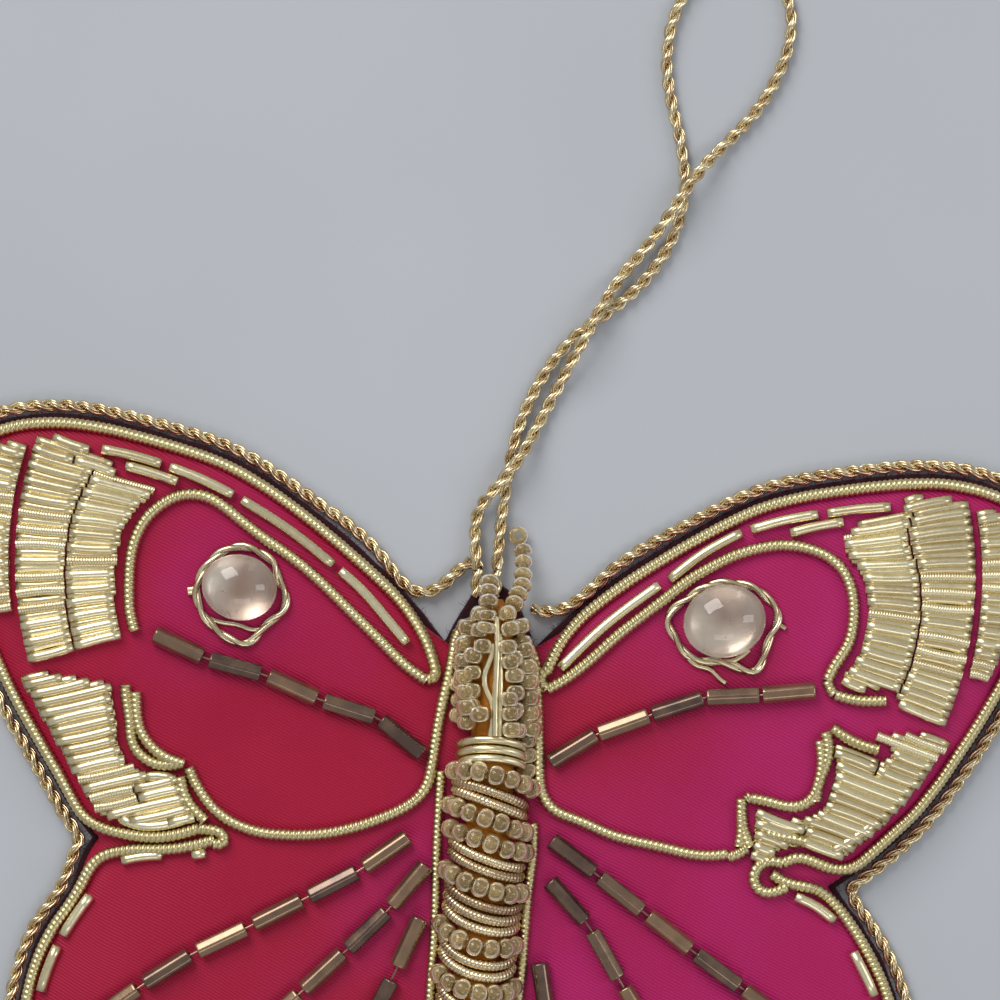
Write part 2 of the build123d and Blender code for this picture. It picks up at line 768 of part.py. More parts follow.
# Glass pebbles in their wound wire bezels
def pebble(side):
    """Flat-bottomed glass pebble, built up from rings of an ellipsoid."""
    x, y = wing_place(side, pebble_place_shares[side])
    half_length, half_width = pebble_length / 2 * pebble_scale[side], pebble_width / 2 * pebble_scale[side]
    rim = [bearing_vector(360 * k / pebble_facets) for k in range(pebble_facets)]
    base = max(satin_height(x + dx * half_width, y + dy * half_width) for dx, dy in rim)
    base = max(base, satin_height(x, y)) + seat_gap
    turn = side * math.radians(pebble_bearing[side])
    rings = []
    for up_share, wide_share in pebble_profile_shares:
        ring = []
        for k in range(pebble_facets):
            a = 2 * math.pi * k / pebble_facets
            across = half_length * wide_share * math.cos(a)
            along = half_width * wide_share * math.sin(a)
            ring.append(
                Vector(
                    x + across * math.cos(turn) - along * math.sin(turn),
                    y + across * math.sin(turn) + along * math.cos(turn),
                    base + pebble_height * up_share,
                )
            )
        rings.append(ring)
    return stacked(rings)


def bezel(side):
    """Wire bent round the pebble, open at the knot where its ends meet."""
    x, y = wing_place(side, pebble_place_shares[side])
    turn = side * math.radians(pebble_bearing[side])
    radius = bezel_wire_diameter / 2
    grown = radius + bezel_gap
    half_length, half_width = pebble_length / 2 * pebble_scale[side], pebble_width / 2 * pebble_scale[side]
    knot = math.radians(knot_bearing[side])
    opening = bezel_opening_wires * bezel_wire_diameter / pebble_length
    points = []
    for k in range(bezel_stations + 1):
        a = knot + opening / 2 + (2 * math.pi - opening) * k / bezel_stations
        across = (half_length + grown) * math.cos(a)
        along = (half_width + grown) * math.sin(a)
        spot = (
            x + across * math.cos(turn) - along * math.sin(turn),
            y + across * math.sin(turn) + along * math.cos(turn),
        )
        points.append((*spot, seat_height(*spot, radius)))
    return faceted_tube(points, radius)


for side in (1, -1):
    name = side_name(side)
    write("eye_pebble_" + name, [pebble(side)])
    write("eye_bezel_" + name, [bezel(side)])


# Padded body: a half round of felt that tapers to head and tail
def on_body(y, bearing, lift):
    """Point above the padding: bearing from straight up, lift from its surface."""
    middle, radius = body_station(y)
    turn = math.radians(bearing)
    reach = radius + lift
    return Vector(middle + reach * math.sin(turn), y, body_level + reach * math.cos(turn))


def padding(top, bottom):
    """Half-round padding between two places, cut to the satin it lies on."""
    stops = [body_top - share * body_length for share, _, _ in body_station_shares]
    stops = [top] + [y for y in stops if bottom < y < top] + [bottom]
    foot = back_thickness + seat_gap
    rings = []
    for y in stops:
        middle, radius = body_station(y)
        arch = [on_body(y, 180 * k / padding_steps - 90, 0) for k in range(padding_steps + 1)]
        rings.append([Vector(middle - radius, y, foot)] + arch + [Vector(middle + radius, y, foot)])
    return (Part() + stacked(rings) - outer_form).solid()


write("thorax_padding", [padding(body_top, waist_at)])
write("abdomen_padding", [padding(waist_at - seat_gap, body_top - body_length)])


# Seed beads: six-sided barrels
def seed_bead(centre, direction, length=seed_length):
    direction = direction.normalized()
    rings = []
    for along_share, wide_share in seed_profile_shares:
        spot = centre + direction * (length * along_share)
        rings.append(section(spot, direction, seed_diameter / 2 * wide_share))
    return stacked(rings)


def thorax_column(bearing, start_share):
    """Beads threaded along the body at one bearing."""
    pitch = seed_length + seed_gap
    top = body_top - start_share * body_length
    bottom = waist_at + waist_bow + band_diameter
    count = int((top - bottom) / pitch)
    lift = seed_diameter / 2 + seat_gap
    solids = []
    for k in range(count):
        near = on_body(top - k * pitch, bearing, lift)
        far = on_body(top - (k + 1) * pitch, bearing, lift)
        solids.append(seed_bead((near + far) / 2, far - near))
    return solids


columns = [thorax_column(b, s) for b, s in zip(thorax_column_bearings, thorax_start_share)]
write("thorax_beads_left", columns[0] + columns[1])
write("thorax_beads_right", columns[2] + columns[3])


def row_place(y, bearing, lift, index):
    """Point of a row across the body, which bows to the tail and leans as the rows go on."""
    settled = min(1.0, index / settle_rows)
    bend = row_bow * (1 - math.cos(math.radians(bearing))) - row_tilt * math.sin(math.radians(bearing))
    spot = on_body(y, bearing, lift)
    return Vector(spot.X, y + bend * settled, spot.Z)


def bead_row(y, index):
    """Beads threaded across the body, evenly over its arch."""
    lift = seed_diameter / 2 + seat_gap
    radius = body_station(y)[1] + lift
    pitch = math.degrees((seed_length + seed_gap) / radius)
    count = 2 * int(row_half_bearing / pitch) + 1
    solids = []
    for k in range(count):
        bearing = (k - (count - 1) / 2) * pitch
        near = row_place(y, bearing - pitch / 2, lift, index)
        far = row_place(y, bearing + pitch / 2, lift, index)
        solids.append(seed_bead((near + far) / 2, far - near))
    return solids


def coil_band(y, index):
    lift = band_diameter / 2 + seat_gap
    bearings = [row_half_bearing * (2 * k / band_steps - 1) for k in range(band_steps + 1)]
    return arched_tube([row_place(y, b, lift, index) for b in bearings], band_diameter / 2)


abdomen_beads, abdomen_bands = [], []
y = waist_at - waist_bow - row_gap * 2
for index, kind in enumerate(abdomen_rows):
    size = seed_diameter if kind == "bead" else band_diameter
    if y - size < body_top - body_length:
        break
    if kind == "bead":
        abdomen_beads.extend(bead_row(y - size / 2, index))
    else:
        abdomen_bands.append(coil_band(y - size / 2, index))
    y -= size + row_gap
write("abdomen_beads", abdomen_beads)
write("abdomen_bands", abdomen_bands)


def waist_band(y):
    lift = band_diameter / 2 + seat_gap
    points = []
    for k in range(band_steps + 1):
        bearing = row_half_bearing * (2 * k / band_steps - 1)
        spot = on_body(y, bearing, lift)
        points.append((spot.X, y - waist_bow * (1 - math.cos(math.radians(bearing))), spot.Z))
    return arched_tube(points, band_diameter / 2)


waist_pitch = band_diameter + row_gap
write("waist_bands", [waist_band(waist_at + k * waist_pitch) for k in range(2)])


# Bright smooth wires down the middle of the thorax, the left one bulging
def thorax_wire(path_shares):
    top = body_top - seed_diameter - seed_gap
    length = top - (waist_at + 2 * waist_pitch)
    lift = thorax_wire_diameter / 2 + seat_gap
    points = []
    for along_share, across_share in path_shares:
        y = top - length * along_share
        bearing = math.degrees(math.asin(across_share))
        points.append(on_body(y, bearing, lift))
    return faceted_tube(points, thorax_wire_diameter / 2)


write(
    "thorax_wires",
    [
        thorax_wire([(0.12, 0.18), (0.5, 0.18), (0.98, 0.18)]),
        thorax_wire(
            [(0.34, -0.10), (0.44, -0.22), (0.54, -0.35), (0.64, -0.35), (0.78, -0.10), (0.98, -0.10)]
        ),
    ],
)


# Antennae
def antenna_path(side):
    """Smooth line of the antenna, from the head to its tip."""
    points = []
    for across_share, along_share, up_share in antenna_shares[side]:
        x, y = across_share * body_length, body_top + along_share * body_length
        points.append(Vector(x, y, body_level + up_share * padding_radius))
    return Edge.make_spline(points)


def antenna(side):
    """Beads threaded along the antenna from its tip; the right one ends in a bead that lies flat."""
    path = antenna_path(side)
    pitch = antenna_seed_length + seed_gap
    solids = []
    count = int(path.length / pitch)
    for k in range(count):
        near = path.position_at(1 - k * pitch / path.length)
        far = path.position_at(1 - (k + 1) * pitch / path.length)
        solids.append(seed_bead((near + far) / 2, far - near, antenna_seed_length))
    if side > 0:
        tip = path.position_at(1)
        step = path.tangent_at(1) * (seed_diameter / 2 + seed_gap)
        end = Vector(tip.X + step.X, tip.Y + step.Y, tip.Z + step.Z)
        solids.append(seed_bead(end, Vector(0, 0, 1), antenna_seed_length))
    return solids


write("antenna_right", antenna(1))
write("antenna_left", antenna(-1))


# Hanging loop: one cord that leaves the head twice, its legs laid loosely round each other
loop_radius = loop_cord_diameter / 2
hinge_height = back_thickness + loop_seat_gap + loop_radius

loop_route = [
    (-2.2, 23.9, 1.85), (-3.0, 27.6, 1.3), (-2.7, 31.4, 0.85), (-0.6, 34.2, 3.0), (2.1, 37.7, 3.0),
    (4.0, 42.0, 0.85), (6.3, 47.5, 0.85), (8.7, 52.6, 3.0), (10.9, 57.4, 3.0), (13.3, 61.9, 0.85),
    (16.3, 65.8, 0.85), (18.9, 70.1, 3.0), (21.6, 74.9, 3.0), (25.0, 79.0, 0.85), (28.6, 83.2, 0.8),
    (31.4, 88.4, 0.8), (32.6, 93.6, 0.8), (31.9, 98.3, 0.8), (29.0, 101.7, 0.8), (24.6, 102.9, 0.8),
    (20.6, 100.9, 0.8), (17.8, 96.2, 0.8), (16.8, 90.3, 0.8), (17.7, 84.7, 0.8), (19.5, 79.4, 0.8),
    (20.5, 74.4, 0.8), (20.3, 69.7, 0.8), (18.7, 65.1, 0.8), (15.7, 60.6, 0.8), (12.1, 57.2, 0.8),
    (8.3, 54.3, 0.8), (5.2, 50.3, 0.8), (3.1, 46.2, 0.8), (1.6, 41.9, 0.8), (0.9, 37.6, 0.8),
    (0.6, 33.4, 0.8), (0.25, 28.6, 1.2), (0.2, 23.9, 1.85),
]
arc_run_share = 0.45


def loop_path(route):
    """Straight runs joined by arcs as large as their two runs allow."""
    points = [Vector(*p) for p in route]
    radii = []
    for before, here, after in zip(points, points[1:], points[2:]):
        turn = math.radians((here - before).get_angle(after - here))
        shorter = min((here - before).length, (after - here).length)
        radii.append(arc_run_share * shorter / math.tan(turn / 2))
    print("loop cord: tightest radius in cord diameters", round(min(radii) / loop_cord_diameter, 1))
    return FilletPolyline(*points, radius=radii)


def loop_tube(path):
    spots = [path.edges()[0].position_at(0)]
    for edge in path.edges():
        shares = [1.0] if edge.geom_type == GeomType.LINE else [0.5, 1.0]
        spots.extend(edge.position_at(s) for s in shares)
    tube = faceted_tube(spots, loop_radius)
    section = 3 * math.sqrt(3) / 2 * loop_radius**2
    print("loop cord: length", round(path.length, 1))
    print("loop cord: volume against section times length", round(tube.volume / (section * path.length), 3))
    far_apart = 3 * loop_cord_diameter
    least = min(
        (a - b).length
        for i, a in enumerate(spots)
        for j, b in enumerate(spots)
        if j > i and sum((spots[k + 1] - spots[k]).length for k in range(i, j)) > far_apart
    )
    print("loop cord: least gap to itself", round(least - loop_cord_diameter, 2))
    return tube


def cord_tail(x):
    """Sewn-down end of the cord, hollowed at its tip so that the loop can swing up from it."""
    start = body_top + seed_gap
    spots = [(x, start, hinge_height), (x, loop_hinge_y - tail_gap, hinge_height)]
    reach = loop_cord_diameter * 2
    swing = Pos(x, loop_hinge_y, hinge_height) * Rot(0, 90, 0) * Cylinder(loop_radius + seat_gap, reach)
    upper = Pos(x, loop_hinge_y, hinge_height - seat_gap + reach / 2) * Box(reach, reach, reach)
    return (Part() + faceted_tube(spots, loop_radius) - (swing & upper)).solid()


hinge_shift = loop_hinge_y - loop_route[0][1]
loop = loop_tube(loop_path([(x, y + hinge_shift, z) for x, y, z in loop_route]))
write("hanging_loop", [loop])
write("cord_tails", [cord_tail(loop_route[0][0]), cord_tail(loop_route[-1][0])])
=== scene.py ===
import math

import bpy
import numpy as np
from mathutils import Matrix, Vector, noise
from mathutils.geometry import delaunay_2d_cdt


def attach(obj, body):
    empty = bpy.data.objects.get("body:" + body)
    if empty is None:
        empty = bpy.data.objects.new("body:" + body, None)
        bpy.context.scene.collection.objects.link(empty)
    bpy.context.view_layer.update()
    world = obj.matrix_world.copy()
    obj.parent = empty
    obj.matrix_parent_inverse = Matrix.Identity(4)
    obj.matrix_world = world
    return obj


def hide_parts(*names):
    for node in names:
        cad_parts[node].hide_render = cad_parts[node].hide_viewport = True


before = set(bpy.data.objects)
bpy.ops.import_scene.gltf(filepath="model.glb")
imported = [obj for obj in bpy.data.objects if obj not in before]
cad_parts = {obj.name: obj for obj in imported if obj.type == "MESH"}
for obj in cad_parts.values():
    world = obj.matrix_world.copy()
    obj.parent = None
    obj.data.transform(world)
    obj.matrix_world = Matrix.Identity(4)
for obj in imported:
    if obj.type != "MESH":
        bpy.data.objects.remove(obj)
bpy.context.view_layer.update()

# Everything below is worked out in millimetres and turned to metres when a mesh is made
metre = 0.001
lift = 0.16  # room left under whatever lies on the work
tiny = 1e-9  # keeps a divisor off zero
planTolerance = 1e-5  # plan points closer than this are one
goldenShare = 0.61803  # spreads the tones of neighbours
wireSides = 12  # sides of a smooth wire's section
wingSides = ((1, "right"), (-1, "left"))

# Wing outline, head to notch and notch to tail, as shares of the half span and of the wing's height
wings = {
    "halfSpan": 69.0, "upperHeight": 39.0, "lowerHeight": 64.0, "ringStep": 1.2, "mitreShare": 0.55,
    "splineStep": 0.2, "splinePlaces": 4, "placesAtATime": 3000,
}
upperOutlineShares = [
    (0.064, 0.359), (0.116, 0.418), (0.217, 0.590), (0.351, 0.762), (0.484, 0.895), (0.628, 0.964),
    (0.754, 1.000), (0.870, 0.990), (0.961, 0.913), (1.000, 0.756), (0.980, 0.538), (0.928, 0.308),
    (0.862, 0.090), (0.794, -0.056),
]
notchShares = {
    1: [(0.729, -0.131), (0.687, -0.170), (0.649, -0.203), (0.681, -0.247)],
    -1: [(0.748, -0.131), (0.722, -0.170), (0.690, -0.206), (0.710, -0.250)],
}
lowerOutlineShares = [
    (0.722, -0.303), (0.765, -0.383), (0.797, -0.484), (0.806, -0.602), (0.774, -0.727),
    (0.703, -0.844), (0.601, -0.938), (0.486, -0.991), (0.370, -1.000), (0.254, -0.953),
    (0.152, -0.872), (0.052, -0.789),
]


def place(side, share):
    height = wings["upperHeight"] if share[1] > 0 else wings["lowerHeight"]
    return (side * share[0] * wings["halfSpan"], share[1] * height)


def places(side, shares):
    return [place(side, s) for s in shares]


# Way along a line from its start to each of its points
def wayTo(points):
    points = np.asarray(points, float)
    return np.concatenate([[0], np.cumsum(np.linalg.norm(np.diff(points, axis=0), axis=1))])


def runLength(points):
    return float(np.linalg.norm(np.diff(points, axis=0), axis=1).sum())


# The same line with so many points, evenly apart
def resampled(points, count):
    points = np.asarray(points, float)
    way = wayTo(points)
    at = np.linspace(0, way[-1], count)
    return np.stack([np.interp(at, way, points[:, k]) for k in range(points.shape[1])], axis=1)


def evenly(points, step):
    return resampled(points, max(1, math.ceil(wayTo(points)[-1] / step)) + 1)


# Natural cubic spline through the points, at even steps along it
def smoothLine(points, step):
    pts = np.array(points, float)
    n = len(pts)
    h = np.diff(wayTo(pts))
    a, b = np.eye(n), np.zeros_like(pts)
    for i in range(1, n - 1):
        a[i, i - 1], a[i, i], a[i, i + 1] = h[i - 1], 2 * (h[i - 1] + h[i]), h[i]
        b[i] = 6 * ((pts[i + 1] - pts[i]) / h[i] - (pts[i] - pts[i - 1]) / h[i - 1])
    m = np.linalg.solve(a, b)
    dense = []
    for i in range(n - 1):
        count = max(wings["splinePlaces"], int(h[i] / wings["splineStep"]))
        u = np.linspace(0, h[i], count, endpoint=i == n - 2)[:, None]
        v = h[i] - u
        dense.append(
            (m[i] * v**3 + m[i + 1] * u**3) / (6 * h[i])
            + (pts[i] / h[i] - m[i] * h[i] / 6) * v
            + (pts[i + 1] / h[i] - m[i + 1] * h[i] / 6) * u
        )
    return evenly(np.concatenate(dense), step)


# Takes the sharpest corners out of a path and keeps its ends
def softRounded(path, times):
    path = path.copy()
    for _ in range(times):
        path[1:-1] = (path[:-2] + 2 * path[1:-1] + path[2:]) / 4
    return path


def bearingVector(degrees):
    return np.array([math.cos(math.radians(degrees)), math.sin(math.radians(degrees))])


# The four smooth runs of the outline: right upper, right lower, left lower, left upper
def outlineRuns():
    runs = []
    for side in (1, -1):
        runs.append(places(side, upperOutlineShares + notchShares[side][:3]))
        runs.append(places(side, notchShares[side][2:] + lowerOutlineShares))
    return [runs[0], runs[1], runs[3][::-1], runs[2][::-1]]


# The same runs moved inward, or outward where the inset is negative
def insetRuns(inset):
    runs = outlineRuns()
    ring = []
    for run in runs:
        ring.extend(run if not ring or ring[-1] != run[0] else run[1:])
    moved = {}
    for i, point in enumerate(ring):
        here = np.array(point)
        first, second = here - np.array(ring[i - 1]), np.array(ring[(i + 1) % len(ring)]) - here
        first, second = first / np.linalg.norm(first), second / np.linalg.norm(second)
        normal = np.array([first[1] + second[1], -first[0] - second[0]])
        normal = normal / np.linalg.norm(normal)
        square = max(wings["mitreShare"], normal @ np.array([first[1], -first[0]]))
        moved[point] = tuple(here + normal * (inset / square))
    return [[moved[point] for point in run] for run in runs]


def closedRing(runs, step):
    lines = [smoothLine(run, step) for run in runs]
    tail = evenly([lines[1][-1], lines[2][0]], step)
    head = evenly([lines[3][-1], lines[0][0]], step)
    return np.concatenate([line[:-1] for line in (lines[0], lines[1], tail, lines[2], lines[3], head)])


# Distance in plan from each point to a line of many short runs
def lineDistance(at, line, closed=False):
    line = np.asarray(line)[:, :2]
    starts, ends = (line, np.roll(line, -1, axis=0)) if closed else (line[:-1], line[1:])
    run = ends - starts
    size = np.maximum((run**2).sum(1), tiny)
    out = np.empty(len(at))
    block = wings["placesAtATime"]
    for s in range(0, len(at), block):
        away = at[s : s + block, None, :] - starts[None]
        along = np.clip((away * run).sum(2) / size, 0, 1)
        out[s : s + block] = np.sqrt(((away - along[..., None] * run) ** 2).sum(2).min(1))
    return out


def insideRing(at, ring):
    a, b = ring, np.roll(ring, 1, axis=0)
    out = np.empty(len(at), bool)
    block = wings["placesAtATime"]
    rise = np.where(a[:, 1] == b[:, 1], tiny, b[:, 1] - a[:, 1])
    for s in range(0, len(at), block):
        x, y = at[s : s + block, 0:1], at[s : s + block, 1:2]
        crosses = (a[:, 1] > y) != (b[:, 1] > y)
        left = x < (b[:, 0] - a[:, 0]) * (y - a[:, 1]) / rise + a[:, 0]
        out[s : s + block] = (crosses & left).sum(1) % 2 == 1
    return out


outlineRing = closedRing(outlineRuns(), wings["ringStep"])


# How far inside the outline each plan point lies, negative outside
def edgeDepth(at):
    depth = lineDistance(at, outlineRing, closed=True)
    return np.where(insideRing(at, outlineRing), depth, -depth)


# Triangles that fill a closed ring of plan points, given first, over the points inside it
def filled(plan, ringCount):
    edges = [(i, (i + 1) % ringCount) for i in range(ringCount)]
    verts, _, faces, *_ = delaunay_2d_cdt([Vector(p) for p in plan], edges, [], 1, planTolerance)
    return np.array([v[:] for v in verts]), faces


# Slow unevenness over plan points; another level gives another pattern
def noiseOver(at, scale, level):
    return np.array([noise.noise(Vector((x / scale, y / scale, level))) for x, y in at])


# Coils sewn down along each wing, 1 for the right one and -1 for the left one
coil = {
    "diameter": 1.56, "pitch": 0.66, "groove": 0.16, "inset": 0.75, "sideDiameter": 1.32, "sink": 0.08,
    "step": 0.8, "wander": 0.05, "wanderScale": 2.3, "wanderLevel": 4.4, "wanderShift": 3, "rounds": 2,
    "sewnStep": 1.0, "ridgePower": 0.8, "toneFrom": 0.3, "toneSpread": 0.3,
}
borderStartShares = {1: [(0.107, 0.302), (0.117, 0.352)], -1: [(0.0945, 0.275), (0.107, 0.335)]}
borderEndShares = {
    1: [(0.635, -0.161), (0.578, -0.145), (0.555, -0.158)],
    -1: [(0.640, -0.191), (0.572, -0.193), (0.501, -0.170)],
}
lowerBorderStartShares = {
    1: [(0.536, -0.180), (0.565, -0.196), (0.620, -0.205), (0.651, -0.228)],
    -1: [(0.472, -0.190), (0.553, -0.215), (0.640, -0.225), (0.680, -0.243)],
}
eyeCellShares = {
    1: [
        (0.109, 0.241), (0.136, 0.272), (0.183, 0.344), (0.233, 0.436), (0.286, 0.518),
        (0.336, 0.600), (0.406, 0.687), (0.458, 0.731), (0.512, 0.754), (0.567, 0.749),
        (0.613, 0.713), (0.643, 0.641), (0.652, 0.538), (0.643, 0.441), (0.622, 0.379),
        (0.612, 0.333),
    ],
    -1: [
        (0.110, 0.244), (0.142, 0.277), (0.190, 0.346), (0.258, 0.451), (0.316, 0.538),
        (0.372, 0.610), (0.430, 0.672), (0.477, 0.728), (0.516, 0.772), (0.552, 0.787),
        (0.588, 0.772), (0.623, 0.726), (0.648, 0.659), (0.659, 0.562), (0.658, 0.464),
        (0.652, 0.385), (0.642, 0.338),
    ],
}
eyeCellTailShares = {1: [(0.628, 0.290), (0.667, 0.276), (0.720, 0.282)], -1: []}
wingCoilShares = {
    1: [
        [
            (0.030, 0.442), (0.052, 0.405), (0.077, 0.356), (0.088, 0.269), (0.094, 0.179),
            (0.099, 0.092), (0.104, -0.008), (0.111, -0.052), (0.132, -0.083), (0.175, -0.100),
            (0.241, -0.125), (0.314, -0.139), (0.387, -0.152), (0.428, -0.153), (0.454, -0.148),
        ],
        [(0.475, -0.132), (0.477, -0.100), (0.474, -0.066)],
        [
            (0.490, -0.036), (0.520, -0.039), (0.562, -0.048), (0.594, -0.037), (0.609, -0.003),
            (0.613, 0.077), (0.606, 0.140),
        ],
        [(0.626, 0.184), (0.662, 0.149), (0.713, 0.123)],
    ],
    -1: [
        [
            (0.025, 0.446), (0.056, 0.415), (0.065, 0.346), (0.071, 0.249), (0.078, 0.182),
            (0.086, 0.054), (0.090, -0.016), (0.100, -0.066), (0.129, -0.098), (0.177, -0.127),
            (0.248, -0.156), (0.338, -0.170), (0.401, -0.167), (0.439, -0.155), (0.477, -0.130),
            (0.500, -0.103), (0.517, -0.078),
        ],
        [
            (0.543, -0.047), (0.581, -0.052), (0.612, -0.039), (0.632, -0.016), (0.639, 0.049),
            (0.648, 0.113), (0.652, 0.164),
        ],
    ],
}
sideCoilShares = {
    1: [
        (0.101, -0.113), (0.104, -0.188), (0.101, -0.234), (0.099, -0.355), (0.096, -0.469),
        (0.083, -0.594), (0.060, -0.703), (0.038, -0.769),
    ],
    -1: [
        (0.072, -0.025), (0.071, -0.156), (0.066, -0.281), (0.064, -0.344), (0.064, -0.469),
        (0.061, -0.594), (0.051, -0.703), (0.040, -0.769),
    ],
}


def borderLine(side):
    runs = insetRuns(coil["inset"])
    upper = runs[0] if side > 0 else runs[3][::-1]
    return places(side, borderStartShares[side]) + upper[2:-1] + places(side, borderEndShares[side])


def lowerBorderLine(side, inset):
    runs = insetRuns(inset)
    return runs[1] if side > 0 else runs[2][::-1]


coilLines = {}
for side, name in wingSides:
    coilLines["upper_border_coil_" + name] = [borderLine(side)]
    lowerStart = places(side, lowerBorderStartShares[side])
    coilLines["lower_border_coil_" + name] = [lowerStart + lowerBorderLine(side, coil["inset"])[2:]]
    cells = [eyeCellShares[side], eyeCellTailShares[side]]
    coilLines["eye_cell_coil_" + name] = [places(side, piece) for piece in cells if piece]
    coilLines["wing_coil_" + name] = [places(side, piece) for piece in wingCoilShares[side]]
    coilLines["body_side_coil_" + name] = [places(side, sideCoilShares[side])]

# Bugle beads strung along rays
bugle = {
    "diameter": 2.15, "bore": 1.0, "length": 6.6, "gap": 0.22, "sink": 0.04, "sides": 24, "facets": 6,
    "facetShare": 0.05, "sewnStep": 1.5, "strungStep": 0.25,
    "thread": 0.3, "threadSides": 6, "threadTone": 0.1,
}
upperRayShares = {
    1: [(0.122, 0.008), (0.203, 0.110), (0.299, 0.185), (0.399, 0.254), (0.506, 0.274), (0.594, 0.300)],
    -1: [(0.103, 0.000), (0.180, 0.105), (0.281, 0.149), (0.378, 0.215), (0.507, 0.264), (0.613, 0.336)],
}
lowerRayShares = {
    1: [
        [(0.130, -0.141), (0.209, -0.195), (0.257, -0.235), (0.348, -0.297), (0.433, -0.363),
         (0.533, -0.430), (0.609, -0.492), (0.670, -0.550)],
        [(0.129, -0.216), (0.193, -0.275), (0.246, -0.363), (0.301, -0.444), (0.355, -0.531),
         (0.406, -0.625)],
        [(0.125, -0.363), (0.143, -0.459), (0.165, -0.560), (0.181, -0.656)],
    ],
    -1: [
        [(0.117, -0.152), (0.201, -0.225), (0.277, -0.275), (0.355, -0.327), (0.436, -0.375),
         (0.526, -0.434), (0.612, -0.506), (0.672, -0.560)],
        [(0.083, -0.203), (0.138, -0.288), (0.210, -0.369), (0.252, -0.436), (0.330, -0.500),
         (0.384, -0.580), (0.430, -0.660)],
        [(0.087, -0.300), (0.125, -0.410), (0.154, -0.481), (0.190, -0.580), (0.217, -0.672)],
    ],
}
rayLines = {}
for side, name in wingSides:
    rayLines["upper_ray_bugles_" + name] = places(side, upperRayShares[side])
    for number, shares in enumerate(lowerRayShares[side], start=1):
        rayLines[f"lower_ray_{number}_bugles_{name}"] = places(side, shares)

# Plan lines that are sewn down, so the satin dips along them
sewn = {name: [smoothLine(line, coil["sewnStep"]) for line in lines] for name, lines in coilLines.items()}
sewnLines = [line for lines in sewn.values() for line in lines]
sewnLines += [smoothLine(line, bugle["sewnStep"]) for line in rayLines.values()]

# Backing and satin; the satin rises round its rim, crowns inside and dips along what is sewn to it
backing = {
    "thickness": 1.0, "margin": 0.5, "ringStep": 0.4, "upperPlaces": 125, "lowerPlaces": 85, "tailPlaces": 6,
    "wobble": 0.12, "wobbleScale": 1.1, "wobbleLevel": 5.5, "wobbleShares": (1.0, 0.7),
    "fibres": 2600, "fibreLength": 0.75, "fibreWidth": 0.035, "fibreTip": 0.012, "fibreSides": 3,
    "fibreRoot": 0.1, "fibreLevels": (0.45, 0.95), "fibreReach": (-0.2, 1.0), "fibreScatter": 0.45,
    "fibreRise": 0.25, "fibreLeast": 0.4, "fibreBend": 0.06, "fibreFoot": 0.1, "chance": 5,
}
satin = {
    "footLift": 0.02, "rimWidth": 4.4, "rimRise": 3.22, "crownRise": 0.7, "crownReach": 13.0,
    "gridStep": 0.8, "gridRowShare": 0.866, "gridInset": 2.4, "ringStep": 0.9, "rimInset": 0.3,
    "swell": 0.26, "swellScale": 9.0, "swellLevel": 3.7, "calmRim": 3.0, "couchDip": 0.16, "couchWidth": 1.2,
    "pucker": 0.11, "puckerScale": 1.5, "puckerLevel": 8.1, "puckerReach": 2.6, "puckerRim": 1.5,
}

# Padded body, and the seed beads over it
body = {
    "length": 71.018, "top": 20.202, "level": 5.4, "radius": 2.8, "waist": 1.7, "band": 1.25, "rowGap": 0.25,
    "waistBow": 1.4, "wire": 0.85, "wireStep": 0.3, "bandBearing": 88.0, "waistWire": 1.05,
    "rowSpread": 1.22, "rowStagger": 0.25, "waistLift": -0.7,
}
seed = {
    "diameter": 2.5, "bore": 0.95, "length": 1.95, "shortLength": 1.45, "gap": 0.15, "sides": 18,
    "profilePlaces": 12, "roundPower": 0.8, "tipSides": 20, "tipTone": 0.3, "lineStep": 0.02,
}
# Place along the body, then its middle and its radius as shares of the padding's radius
bodyStationShares = [
    (0.00, 0.10, 0.45), (0.05, 0.17, 0.80), (0.13, 0.34, 0.98), (0.27, 0.47, 1.00), (0.50, 0.49, 1.00),
    (0.66, 0.39, 1.00), (0.80, 0.30, 0.86), (0.92, 0.10, 0.58), (1.00, 0.00, 0.30),
]


def bodyStation(y):
    share = np.clip((body["top"] - np.asarray(y, float)) / body["length"], 0, 1)
    stops = np.array(bodyStationShares)
    middle = np.interp(share, stops[:, 0], stops[:, 1]) * body["radius"]
    return middle, np.interp(share, stops[:, 0], stops[:, 2]) * body["radius"]


# Height of the satin before its small folds
def padHeight(at):
    at = np.asarray(at, float)
    depth = edgeDepth(at)
    rim = np.clip(depth / satin["rimWidth"], 0, 1)
    crown = np.clip((depth - satin["rimWidth"]) / satin["crownReach"], 0, 1)
    return (
        backing["thickness"] + satin["footLift"] + satin["rimRise"] * np.sqrt(1 - (1 - rim) ** 2)
        + satin["crownRise"] * crown * (2 - crown)
    )


def satinHeight(at):
    at = np.asarray(at, float)
    height = padHeight(at)
    depth = edgeDepth(at)
    near = np.min([lineDistance(at, line) for line in sewnLines], axis=0)
    free = np.clip(depth / satin["calmRim"], 0, 1)
    height -= satin["couchDip"] * np.exp(-((near / satin["couchWidth"]) ** 2)) * free
    height += satin["swell"] * noiseOver(at, satin["swellScale"], satin["swellLevel"]) * free
    close = np.exp(-near / satin["puckerReach"]) * np.clip(depth / satin["puckerRim"], 0, 1)
    height += satin["pucker"] * noiseOver(at, satin["puckerScale"], satin["puckerLevel"]) * close
    return height


